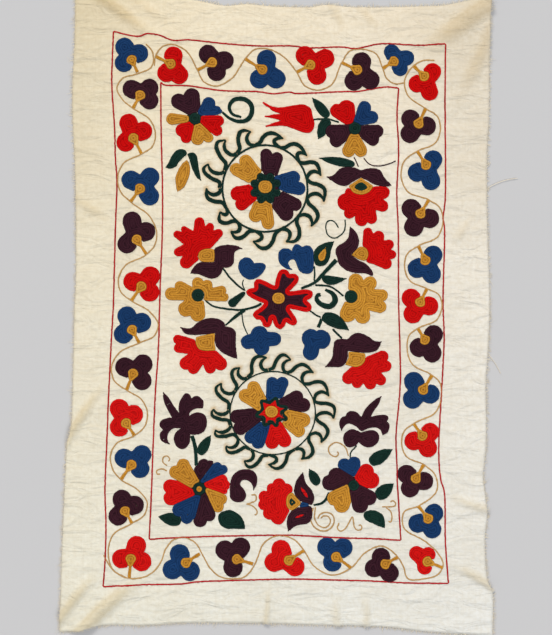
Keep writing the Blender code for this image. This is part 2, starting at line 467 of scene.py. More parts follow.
# a short tapered row out to a sharp corner, unless a later shape covers it
def workTip(shape, path, corner, later):
    tip = path[corner]
    arms = [path[(corner + steps * tipRow["arm"]) % len(path)] - tip for steps in (-1, 1)]
    arms = [arm / np.linalg.norm(arm) for arm in arms]
    opening = math.acos(np.clip(arms[0] @ arms[1], -1, 1))
    inward = (arms[0] + arms[1]) / max(np.linalg.norm(arms[0] + arms[1]), 1e-6)
    probe = tip + inward * tipRow["probe"]
    if opening > math.radians(tipRow["opening"]) or not insideOf(path, probe[:1], probe[1:])[0]:
        return
    if any(shapeField(other, tip[:1], tip[1:])[0] < tipRow["clear"] for other in later):
        return
    reach = np.clip(tipRow["inset"] / math.sin(opening / 2) + tipRow["more"],
                    tipRow["shortest"], tipRow["longest"])
    steps = np.array([[reach], [reach * tipRow["bend"]], [tipRow["end"]]])
    colour = shape["edge"] or shape["colour"]
    addRow(colour, tip + inward * steps, False, np.array(tipRow["widths"]))


# the edges of a grid cell that a level's line enters and leaves by, for each case of its corners
crossings = {
    1: [(0, 3)], 2: [(1, 0)], 3: [(1, 3)], 4: [(2, 1)], 5: [(0, 3), (2, 1)], 6: [(2, 0)],
    7: [(2, 3)], 8: [(3, 2)], 9: [(0, 2)], 10: [(1, 0), (3, 2)], 11: [(1, 2)], 12: [(3, 1)],
    13: [(0, 1)], 14: [(3, 0)],
}


# closed lines where a grid of heights crosses a level, with the high side on their left
def levelLoops(field, level, x0, y0, step):
    above = field > level
    case = (above[:-1, :-1] * 1 + above[:-1, 1:] * 2 + above[1:, 1:] * 4 + above[1:, :-1] * 8)
    follow, place = {}, {}

    def edgePoint(j, i, edge):
        if edge in (0, 2):
            jj = j + (edge == 2)
            a, b = field[jj, i], field[jj, i + 1]
            key = (jj, i, 0)
            place[key] = (x0 + (i + (level - a) / (b - a)) * step, y0 + jj * step)
        else:
            ii = i + (edge == 1)
            a, b = field[j, ii], field[j + 1, ii]
            key = (j, ii, 1)
            place[key] = (x0 + ii * step, y0 + (j + (level - a) / (b - a)) * step)
        return key

    for j, i in zip(*np.nonzero((case > 0) & (case < 15))):
        for start, stop in crossings[int(case[j, i])]:
            follow[edgePoint(j, i, start)] = edgePoint(j, i, stop)
    loops = []
    while follow:
        first = next(iter(follow))
        here, loop = first, []
        while here in follow:
            loop.append(place[here])
            here = follow.pop(here)
        if here == first and len(loop) > 5:
            loops.append(np.array(loop))
    return loops


def rounded(loop, times):
    for _ in range(times):
        loop = 0.25 * np.roll(loop, 1, axis=0) + 0.5 * loop + 0.25 * np.roll(loop, -1, axis=0)
    return loop


# the working of a shape, in millimetres: grid is the step at which it is worked out, pitch
# is from row to row, lift is how much higher a shape worked over another stands
filling = dict(grid=0.6, pitch=2.55, lastRow=0.62, lift=0.6, shortestEdge=8, bedDepth=0.2,
               overBed=0.1, underBed=0.06)
beds = {}               # colour: flat cells under its rows, so that no cotton shows between them


def addBed(colour, x, y, depth, lift):
    x, y, deep = x[::2, ::2], y[::2, ::2], depth[::2, ::2] > filling["bedDepth"]
    j, i = np.nonzero(deep[:-1, :-1] & deep[:-1, 1:] & deep[1:, 1:] & deep[1:, :-1])
    corner = j * x.shape[1] + i
    corners = np.column_stack([corner, corner + 1, corner + x.shape[1] + 1, corner + x.shape[1]])
    used, quads = np.unique(corners, return_inverse=True)
    flat = np.column_stack([x.ravel()[used], y.ravel()[used]])
    beds.setdefault(colour, []).append((flat, quads.reshape(-1, 4), stitch["bed"] + lift))


def boxesMeet(one, other):
    return (other["box"][0] < one["box"][1]).all() and (other["box"][1] > one["box"][0]).all()


# turns each filled shape into rows, leaving out what later shapes cover
def workFills():
    covered = []
    grid, pitch = filling["grid"], filling["pitch"]
    for index, shape in enumerate(fills):
        (x0, y0), (x1, y1) = shape["box"]
        x, y = np.meshgrid(np.arange(x0, x1, grid), np.arange(y0, y1, grid))
        field = shapeField(shape, x, y)
        later = [other for other in fills[index + 1:]
                 if shape["worked"] and not other["over"] and boxesMeet(shape, other)]
        for other in later:
            field = np.maximum(field, other["gap"] - shapeField(other, x, y))
        for part in shape["parts"]:
            for corner in part.get("corners", ()):
                workTip(shape, part["path"], corner, later)
        edges = [rounded(loop, 1) for loop in levelLoops(-field, 0.0, x0, y0, grid)]
        edges = [loop for loop in edges if lengthOf(loop, True) > filling["shortestEdge"]]
        if not edges:
            continue
        inside = field < 0
        depth = np.zeros(field.shape)
        depth[inside] = distanceTo(edges, x[inside], y[inside])
        covered.append((shape, x0, y0, depth))
        if not shape["worked"]:
            addBed(shape["colour"], x, y, depth, -filling["underBed"])
            continue
        bedLift = stitch["height"] - filling["overBed"] if shape["over"] else 0.0
        addBed(shape["colour"], x, y, depth, bedLift)
        lift = filling["lift"] if shape["over"] else 0.0
        outer = shape["edge"] or shape["colour"]
        level, ring, deepest = pitch / 2, 0, depth.max()
        while level < deepest:
            for loop in levelLoops(depth, level, x0, y0, grid):
                inwards = -shapeField(shape, loop[:, 0], loop[:, 1]).mean()
                colour = outer if inwards < shape["edgeRows"] * pitch else shape["colour"]
                addRow(colour, rounded(loop, 2 + ring), True, lift=lift)
            level += pitch * (filling["lastRow"] if pitch / 2 < deepest - level < pitch else 1)
            ring += 1
        if deepest < pitch / 2:
            for loop in levelLoops(depth, deepest / 2, x0, y0, grid):
                addRow(outer, rounded(loop, 2), True, deepest * 1.2, lift)
    return covered


# one mesh of every stitch in a colour: a pair of rounded strands, pinched at each stitch
def makeRowsPiece(colour, name):
    points, quads, caps, tones, valleys, strands = [], [], [], [], [], []
    perStitch, end = len(stitchShape["width"]), stitchShape["end"]
    total = 0
    for row in rows[colour]:
        path, closed = row["path"], row["closed"]
        length = lengthOf(path, closed)
        stitches = max(2, round(length / stitch["length"]))
        centre = evenly(path, stitches * perStitch, closed)
        aside = leftwards(centre, closed)
        count = len(centre)
        phase = np.arange(count) % perStitch
        order = np.minimum(np.arange(count) // perStitch, stitches - 1)
        shift = rng.normal(0, stitch["wander"], stitches)[order]
        swell = 1 + rng.normal(0, stitch["swell"], stitches)[order]
        tone = (rng.normal(0, 1, stitches)[order] * stitch["stitchTone"]
                + rng.normal(0, stitch["rowTone"]))
        if closed and length < stitch["heartLength"]:
            tone = tone - stitch["heartShade"]
        widths = np.atleast_1d(row["width"])
        wide = np.interp(np.linspace(0, 1, count), np.linspace(0, 1, len(widths)), widths)
        tall = stitch["height"] * np.clip(wide / stitch["width"], 0.45, 1)
        half = wide / 2
        pinch = np.array(stitchShape["width"])[phase] * swell
        crest = tall * np.array(stitchShape["crest"])[phase]
        groove = tall * np.array(stitchShape["groove"])[phase]
        if not closed:
            ends = [0, count - 1]
            half[ends] *= end["half"]
            crest[ends] *= end["crest"]
            groove[ends] *= end["groove"]
        feet, crests = half * stitch["foot"], half * stitch["crestAt"] * pinch
        across = np.column_stack([-feet, -crests, 0 * half, crests, feet]) + shift[:, None]
        flat = centre[:, None, :] + aside[:, None, :] * across[:, :, None]
        sunk = np.full(count, -stitch["sink"])
        rise = np.column_stack([sunk, crest, groove, crest, sunk])
        rise[:, 1:4] += row["lift"]
        points.append(np.concatenate([flat, rise[:, :, None]], axis=2).reshape(-1, 3))
        tones.append(np.repeat(tone, 5))
        valleys.append(np.tile(stitchShape["shade"], count)
                       + stitchShape["caught"] * np.repeat(phase == 0, 5))
        along = np.repeat(np.arange(count) / perStitch * stitch["length"], 5)
        strands.append(np.column_stack([along, across.ravel(), np.zeros(len(along))]))
        here = np.arange(count if closed else count - 1)
        there = (here + 1) % count
        for k in range(5):
            after = (k + 1) % 5
            quads.append(total + np.column_stack([
                here * 5 + k, here * 5 + after, there * 5 + after, there * 5 + k])[:, ::-1])
        if not closed:
            last = (count - 1) * 5
            caps.append(total + np.array([(0, 2, 1), (0, 3, 2), (0, 4, 3)])[:, ::-1])
            caps.append(total + last + np.array([(0, 1, 2), (0, 2, 3), (0, 3, 4)])[:, ::-1])
        total += count * 5
    for flat, cells, height in beds.get(colour, []):
        points.append(np.column_stack([flat, np.full(len(flat), height)]))
        quads.append(cells + total)
        tones.append(np.zeros(len(flat)))
        valleys.append(np.full(len(flat), stitch["bedValley"]))
        strands.append(np.column_stack([flat, np.zeros(len(flat))]))
        total += len(flat)
    points, quads = np.vstack(points), np.vstack(quads)
    caps = np.vstack(caps) if caps else ()
    points[:, 2] += clothHeight(points[:, 0], points[:, 1]) + cloth["thick"]
    piece = meshFromArrays(name, points, quads, caps)
    setAttribute(piece, "tone", np.concatenate(tones))
    setAttribute(piece, "valley", np.clip(np.concatenate(valleys), 0, 1))
    setAttribute(piece, "strand", np.vstack(strands), "FLOAT_VECTOR")
    print(name, len(rows[colour]), "rows,", 2 * len(quads) + len(caps), "triangles")
    return piece


# the two red frames of the border, corner by corner clockwise from the upper left
frames = dict(
    width=1.6,
    outer=[
        [(113.5, 31.4), (128, 35), (139, 36.4), (148, 33.8), (160, 35.5), (173, 40.4), (190, 40),
         (222, 43.4), (257, 46), (290, 46), (310, 48), (340, 47), (357, 48.5), (382, 43.8),
         (419, 45.4)],
        [(445.4, 44.3), (445, 100), (445.4, 192), (443, 217), (444.6, 233), (443, 300),
         (444, 342), (441, 400), (438.7, 447), (440.4, 478), (444.6, 495), (445.4, 544)],
        [(448.4, 583.3), (407, 582.8), (373, 581), (337, 580), (290, 579), (233, 580.4),
         (201, 581.5), (177, 584), (138, 584.7)],
        [(103.1, 586.6), (105, 562), (106, 526), (105, 490), (107, 439), (109, 389),
         (111.4, 340), (113.5, 301), (115.4, 230), (117, 182), (115.4, 159), (114.6, 128),
         (111.9, 83)]],
    inner=[
        [(160.8, 82.1), (166, 85.3), (189, 86), (222, 90.6), (257, 91.7), (273, 93.8),
         (289, 92.3), (300, 93.6), (345, 91.6), (357, 91.6), (384, 87.2)],
        [(398.6, 88.2), (397, 117), (398.6, 150), (396.8, 192), (398.3, 233), (398.6, 300),
         (400.3, 380), (396.1, 434), (397, 467), (397.3, 483), (399.4, 517)],
        [(400.8, 540.2), (373, 538.6), (340, 537.7), (290, 535.2), (225, 536), (174, 537.7)],
        [(149.2, 539.3), (151.2, 498), (153.3, 443), (155.2, 396), (158.4, 349), (160, 293),
         (162.4, 230), (162.4, 182), (161.1, 128)]],
)


def workFrames():
    for name in ("outer", "inner"):
        for side in chained(frames[name]):
            line("crimson", side, frames["width"])


# the vine that swings through the border, in five runs
vine = dict(
    width=1.45, sideTop=95, sideFoot=530,
    runs=[
        [(103.6, 555), (108.2, 563), (113.8, 570.5), (126.5, 577.6), (139, 578), (151.7, 573),
         (160.5, 562.6), (166, 548.6), (172.8, 540.2), (184, 537.4), (195.5, 543),
         (202.4, 554.4), (209.3, 566.8), (219, 576), (232, 578.8), (244, 577), (253.3, 567),
         (258, 556.5), (263.5, 543.6), (273.8, 536.6), (285, 536), (296, 541), (304.4, 551),
         (314, 566), (332, 575), (351, 567.8), (366, 552), (381, 546), (397.8, 557),
         (403.6, 567), (407, 577.8), (424, 578.7), (438.7, 573.6), (443, 565), (437, 552),
         (427, 542.7), (402.8, 525), (404, 512), (418.3, 506), (437.5, 488), (423.7, 464.6),
         (401.6, 442), (413.6, 423.6), (441.5, 392), (432, 375.2), (407, 345), (417.8, 328.4),
         (442, 304), (427, 288.7), (404.5, 265), (418.3, 246), (443, 220), (428.7, 200),
         (401, 175), (417.3, 151.2), (440.4, 128), (425.7, 108.6), (406.5, 93), (404.5, 82),
         (410, 69.5), (422, 61), (434.5, 60.5)],
        [(154.4, 66.2), (156, 55), (163, 46.5), (172, 44.5), (185, 50), (197.5, 70.2), (204, 82),
         (216, 86.2), (230, 80), (245.3, 59), (254, 50), (265, 48.5), (281, 55), (296.7, 72.2),
         (305, 86), (317, 90.2), (330, 86), (341.8, 62.7), (350, 51), (362, 49.3), (376, 54),
         (382.7, 68.5), (387, 79), (396, 84), (404, 83)],
        [(145.7, 43.8), (152, 51), (153.5, 60), (152, 66), (137.7, 73.8), (122, 79), (117, 88),
         (122, 99), (133, 108.4), (150, 120), (155.5, 135), (141.7, 153.9), (123, 164),
         (117.8, 177), (130.5, 201.8), (150, 217), (156.8, 233), (146.5, 254.4), (124, 267),
         (118.4, 280), (131.3, 300.7), (150, 312), (158.4, 325), (139.3, 342.9), (118, 354),
         (111.4, 368), (126.5, 390), (142, 400), (147.5, 413), (134.5, 435.5), (116, 444),
         (110.6, 455), (121, 479.4), (138, 490), (147.3, 503), (132, 523.3), (113, 535),
         (108.2, 552), (113.8, 570.5), (126.5, 577.6)],
    ],
)


# a run of the vine with points more beside the flowers' feet, where it swings up the sides
def swung(run):
    feet = np.array([(flower["footX"], flower["footY"]) for flower in trefoils])

    def between(foot, far, along):
        return foot[0] + (far[0] - foot[0]) * 0.8, foot[1] + (far[1] - foot[1]) * along

    points = [run[0]]
    for here, there in zip(run, run[1:]):
        far = math.dist(here, there)
        onSide = vine["sideTop"] < there[1] < vine["sideFoot"]
        if onSide and far > 18 and np.hypot(*(feet - there).T).min() < 1.5:
            points.append(between(there, here, 0.42))
        elif onSide and far > 28 and np.hypot(*(feet - here).T).min() < 1.5:
            points.append(between(here, there, 0.38))
        points.append(there)
    return points


def workVine():
    for run in vine["runs"]:
        line("brown", roundLine(swung(run)), vine["width"])


# three-petalled border flowers: gold knob, foot of its stem, then the three lobes
trefoilColumns = ("colour", "knobX", "knobY", "footX", "footY", "lobes", "size")
trefoils = [dict(zip(trefoilColumns, row)) for row in [
    ("blue", 132, 60.6, 137.7, 72.5, [(124.5, 47), (139, 53.4), (124, 63)], 8.2),
    ("red", 170.4, 63.8, 156, 56.6, [(173.4, 55.8), (166.5, 73), (179, 75)], 8.2),
    ("plum", 211.8, 62.7, 197.5, 70.2, [(208, 54), (224.5, 60.5), (216.6, 72)], 8.2),
    ("blue", 262, 69.4, 245.3, 59, [(266.6, 59.5), (259.5, 79), (276, 79)], 8.6),
    ("red", 310, 65.2, 296.7, 72.2, [(305, 55.5), (325, 58.5), (317, 75.5)], 8.4),
    ("plum", 356.8, 69.8, 341.8, 62.7, [(361.5, 62), (354, 81), (370, 80)], 8.6),
    ("blue", 393.3, 61.8, 382.7, 68.5, [(391.5, 52), (406.5, 58), (400, 68.5)], 6.6),
    ("plum", 140, 95.7, 133, 108.4, [(131.5, 89), (149.5, 88), (149.5, 100.5)], 8.0),
    ("red", 133.7, 138.7, 141.7, 153.9, [(128.5, 123), (143, 131), (125.5, 142.5)], 8.2),
    ("blue", 139.8, 189, 130.5, 201.8, [(131, 180), (150, 177), (149.7, 196)], 8.4),
    ("plum", 137, 240, 146.5, 254.4, [(132, 221), (146, 231.5), (127, 244)], 8.4),
    ("red", 141.2, 286.8, 131.3, 300.7, [(133, 281.5), (150.4, 276), (149.7, 292)], 8.6),
    ("blue", 132.4, 330.2, 139.3, 342.9, [(127, 316), (141.7, 322.5), (123.5, 334)], 8.6),
    ("plum", 133, 374, 126.5, 390, [(125, 367), (143, 364), (142, 380.5)], 8.6),
    ("red", 126.5, 423.6, 134.5, 435.5, [(119.4, 408.5), (133.5, 414.5), (119.5, 427)], 8.6),
    ("blue", 131.3, 465, 121, 479.4, [(124, 458), (142, 454.5), (140, 468.5)], 8.4),
    ("plum", 125.3, 511.4, 132, 523.3, [(122, 499), (134.5, 505), (118, 516)], 8.4),
    ("red", 130.8, 559.2, 129.2, 577.6, [(136.5, 545.5), (121.7, 558.6), (141.8, 561.5)], 8.6),
    ("blue", 186.3, 562.4, 200, 553.6, [(179.7, 554), (172.5, 569.4), (190, 571)], 8.9),
    ("plum", 237.3, 559.2, 253.3, 564, [(225, 550), (240.5, 547), (233, 567.5)], 8.6),
    ("red", 289.2, 560, 304.2, 550.3, [(281, 549.5), (274, 562), (295, 566.5)], 8.6),
    ("blue", 336.4, 557, 351, 567.8, [(326.8, 546.8), (343, 547.5), (332.6, 562)], 8.5),
    ("plum", 385.7, 563.6, 397.8, 557, [(381, 557), (374, 568), (389.5, 573)], 8.2),
    ("red", 427.8, 561.6, 443, 567.8, [(416.6, 553.4), (428, 554.6), (424.6, 567)], 6.5),
    ("red", 423.7, 76, 413.6, 66, [(432.5, 71.8), (417, 84), (429.5, 92)], 7.6),
    ("plum", 418.7, 123.3, 425.7, 108.6, [(410.5, 119), (426.5, 126), (410, 133.7)], 8.4),
    ("blue", 425.7, 164.6, 417.3, 151.2, [(433, 159.6), (417, 172.5), (431, 181)], 8.2),
    ("plum", 420.7, 213.2, 428.7, 200, [(411, 208.5), (429.5, 218.5), (413.6, 227)], 8.6),
    ("blue", 425, 259.8, 418.3, 246, [(433, 255), (417, 268.6), (431.5, 274)], 8.4),
    ("red", 420.3, 301.7, 427, 288.7, [(411, 298), (429, 306), (412.8, 314)], 8.4),
    ("plum", 424.5, 339.3, 417.8, 328.4, [(433.5, 334.5), (419, 347.6), (432, 353)], 8.4),
    ("blue", 423.2, 389.4, 432, 375.2, [(413.6, 381.5), (430, 394), (412.5, 399)], 8.6),
    ("red", 422, 435.3, 413.6, 423.6, [(430, 432), (413.6, 441), (427.8, 448)], 8.2),
    ("plum", 416, 478, 423.7, 464.6, [(406.5, 474), (424, 481), (410, 488)], 8.2),
    ("blue", 427.8, 518.2, 418.3, 506, [(434, 513), (417.5, 523.5), (432, 529)], 8.2),
]]
trefoil = dict(knob=5.4, neck=0.27, neckWidth=2.6, stemWidth=(2.3, 3.2), heart=8.6, sunk=0.35,
               plumper=0.9)


def workTrefoils():
    for flower in trefoils:
        lobes = np.array(flower["lobes"])
        knob = np.array([flower["knobX"], flower["knobY"]])
        foot = np.array([flower["footX"], flower["footY"]])
        heart = lobes.mean(axis=0) * (1 - trefoil["sunk"]) + knob * trefoil["sunk"]
        size = flower["size"] + trefoil["plumper"]
        fill(flower["colour"], *[limb(*heart, x, y, trefoil["heart"], size) for x, y in lobes])
        neck = knob + (foot - knob) * trefoil["neck"]
        fill("ochre", limb(*knob, *neck, trefoil["knob"], trefoil["neckWidth"]))
        start = knob + (foot - knob) * (trefoil["knob"] - 0.3) / math.dist(foot, knob)
        line("ochre", [start, foot], trefoil["stemWidth"], lift=0.12)


# the two hooked rings: centre and radii of the inner circle, then each wave clockwise:
# its tip, how far its crest stands over the tip, how high its trough lies, how late it rises
waveColumns = ("tipX", "tipY", "crest", "trough", "late")
hookedRings = [
    dict(x=265, y=188.5, rx=42.5, ry=43.3, circleWidth=2.1, waveWidth=3.8, waves=[
        (226, 140, 1.21, 0.05, 0.85), (251.2, 131.8, 1.24, 0.1, 0.45),
        (283.5, 138.7, 1.24, 0.05, 0.2), (307, 156, 1.12, 0, 0), (321, 176, 1.0, 0, 0),
        (323.7, 202, 1.0, 0, 0.2), (311, 226.6, 1.05, 0, 0.3), (285.7, 241.8, 1.24, 0, 0.4),
        (252.7, 241.3, 1.5, 0, 0.4),
        (230.8, 231, 1.23, 0, 0.6), (220, 211.4, 1.6, 0, 0.3), (206.3, 188, 1.02, 0, 0.9),
        (208.5, 163.7, 1.15, 0.12, 0.9)]),
    dict(x=272.7, y=413, rx=42.7, ry=41.5, circleWidth=1.5, waveWidth=3.4, waves=[
        (267, 357.6, 1.18, 0.1, 0.55), (291, 360, 1.22, 0.1, 0.5), (313.6, 373, 1.06, 0.05, 0),
        (329, 396.4, 1.05, 0, 0), (333.5, 418.8, 1.05, 0, 0), (321, 442.8, 1.1, 0, 0),
        (301, 459.4, 1.2, 0, 0.2), (268, 464.4, 1.4, 0, 0.8), (244, 460.7, 1.25, 0, 0.8),
        (225.8, 445.7, 1.15, 0, 1), (215.4, 429.6, 1.1, 0, 1), (213.7, 408.8, 1.12, 0.05, 1),
        (221.6, 383, 1.15, 0.05, 1), (240, 367.4, 1.15, 0.05, 0.7)]),
]
# a wave's back, where it rises early and where late, and its hollow:
# share of the way from the last tip to its own, and of the height
earlyBack = [(0.0, 0.0), (0.2, 0.27), (0.3, 0.65), (0.46, 0.95), (0.68, 1.0)]
lateBack = [(0.0, 0.05), (0.33, 0.13), (0.465, 0.53), (0.62, 0.88), (0.79, 1.0)]
waveHollow = [(0.86, 0.9), (0.74, 0.65), (0.74, 0.35), (0.85, 0.15)]
halos = []


def workHookedRing(ring):
    waves = [dict(zip(waveColumns, row)) for row in ring["waves"]]
    dx = np.array([(wave["tipX"] - ring["x"]) / ring["rx"] for wave in waves])
    dy = np.array([(ring["y"] - wave["tipY"]) / ring["ry"] for wave in waves])
    turns = np.unwrap(np.arctan2(dy, dx))
    wide = ring["waveWidth"]
    for k, wave in enumerate(waves):
        start = turns[k - 1] if k else turns[-1] + 2 * math.pi
        height = math.hypot(dx[k], dy[k]) - 1
        following = waves[(k + 1) % len(waves)]

        def place(points):
            spread = np.array(points)
            turn = start + (turns[k] - start) * spread[:, 0]
            reach = 1 + height * spread[:, 1]
            return np.column_stack([ring["x"] + ring["rx"] * reach * np.cos(turn),
                                    ring["y"] - ring["ry"] * reach * np.sin(turn)])

        blend = np.array(earlyBack) * (1 - wave["late"]) + np.array(lateBack) * wave["late"]
        back = place([(share, wave["trough"] * (1 - share) ** 4 + wave["crest"] * up)
                      for share, up in blend] + [(1.0, 1.0)])
        hollow = place([(1.0, 1.0)] + waveHollow + [(1.0, following["trough"] + 0.04)])
        line("green", back, (wide * 0.85, wide, wide, wide * 1.05, wide * 0.8, 1.1))
        line("green", hollow, (1.1, wide * 0.8, wide, wide * 0.95, wide * 0.8))
        halos.append(onCloth(back))
        halos.append(onCloth(hollow))
    turn = np.linspace(0, 2 * math.pi, 73)[:-1]
    circle = np.column_stack([ring["x"] + ring["rx"] * np.cos(turn),
                              ring["y"] + ring["ry"] * np.sin(turn)])
    line("green", circle, ring["circleWidth"], closed=True)


# from the upper left: a flower and its scroll, a tulip, a flower, a palmette with a moustache
def workUpperField():
    underlay("green", 195, 118.7, 9)
    lobed("plum", (194.5, 111, 6.2), (178.8, 101.3, 7.6), (191.7, 96.6, 8.1))
    lobed("blue", (202.5, 112.8, 4.6), (208.8, 103.8, 6.5), (216.5, 110.4, 4.4), (220.3, 111.5, 2))
    lobed("red", (203, 120.6, 4.8), (218.6, 120.8, 5.3), (217, 130.6, 5.3))
    lobed("red", (191.5, 123.5, 5), (182, 130.3, 6.4), (186.2, 137.8, 5.4))
    lobed("ochre", (198.3, 127, 4.2), (197.6, 138.8, 6.2), (208.3, 137.6, 4.9))
    lobed("ochre", (186, 119, 3.5), (172.2, 119, 5.8))
    fill("green", disc(195, 118.7, 5.8))
    line("green", [(222, 112), (229, 118), (238, 121.5), (247, 120), (251.7, 113), (251, 104.7),
                   (244.5, 99.4), (236, 99.2), (230.7, 103), (229.5, 109), (233, 114.5),
                   (241.5, 117.3)], (1.8, 4.5, 4.3, 2.0))

    line("green", [(313, 119.6), (322, 119), (330, 119.5), (339, 122.5)], 1.8)
    pointed("red",
        [(262.3, 102.6), (272, 107.3), (283, 107.3), (295, 105.3), (304, 104.8), (310.5, 108.5),
         (312.5, 116), (314.3, 125), (311, 132), (304, 132.6), (294, 129), (283, 125.8)],
        [(265.3, 126.8), (272, 123.4)],
        [(281.5, 120.6), (273, 118.4)],
        [(264.2, 116.4), (272, 114.8)],
        [(281.5, 113.9), (272, 110.5)])
    line("red", [(286, 110.6), (273, 108.2), (262.6, 102.5)], (4.4, 3.0, 1.6))
    line("red", [(285, 117.3), (274, 116.9), (264.5, 116.3)], (3.4, 2.4, 1.3))
    line("red", [(285, 122.9), (274, 124.6), (265.5, 126.6)], (4.0, 2.8, 1.5))
    leaf((329, 118), (312, 97.4), 9.5)
    leaf((328.5, 118.5), (318, 139.5), 12)

    underlay("green", 354.8, 128.5, 9)
    lobed("red", (350, 121, 5.5), (337, 110.8, 6.8), (346.6, 108.6, 8.4))
    lobed("blue", (358, 121.5, 4.5), (364.6, 107.6, 6.4), (372, 117.3, 6.2))
    lobed("plum", (349, 130.6, 6), (332.2, 131.6, 6.6), (336.4, 140.3, 6.8))
    lobed("plum", (361, 131, 5.5), (377, 131.2, 6.3), (372.6, 139.3, 6.4))
    lobed("ochre", (354.4, 135.5, 4.5), (348.6, 150.8, 6.3), (360.6, 150.5, 6.3))
    fill("green", disc(354.8, 128.5, 6))
    line("plum", [(354, 157), (356.3, 162), (358.5, 167)], 1.3)
    line("plum", [(363.5, 158), (370, 164.5), (380, 166), (390, 163.5), (396, 161)], 1.3)
    leaf((356, 164.8), (318.4, 158), 8.4)

    lobed("red", (363.5, 196.5, 9.5), (350.5, 193, 5.5), (346, 202, 8.5), (349.5, 213, 5.5),
          (361.5, 219.7, 6.4), (371.5, 218.5, 5.4), (382.5, 206, 5.7), (383, 192.5, 6.4))
    pointed("plum",
        [(326, 176.7), (333, 175.5), (340, 169), (347, 167), (355, 168)],
        [(361, 170.5), (368, 168.5), (375, 168.5), (380.5, 171), (384.5, 178)],
        [(391.8, 185.4), (384, 186.5), (375, 184.5), (368, 181)],
        [(361, 177.4), (354, 181), (346.5, 185.5), (339, 185), (331.5, 180.5)])
    pointed("ochre",
        [(348.5, 186), (355, 182)],
        [(361, 177.6), (367, 182)],
        [(373.5, 186), (369, 192), (361, 194.6), (353, 192.2)])
    fill("green", outline((361, 182.2), (367.3, 187), (361, 191.0), (354.4, 187)), over=True)
    line("green", [(345, 219.5), (345.3, 226), (343.5, 232), (338, 237), (333, 238), (328, 235),
                   (325.8, 228), (327, 222), (331, 220.5), (335, 222.5), (338.5, 228)], 1.4)


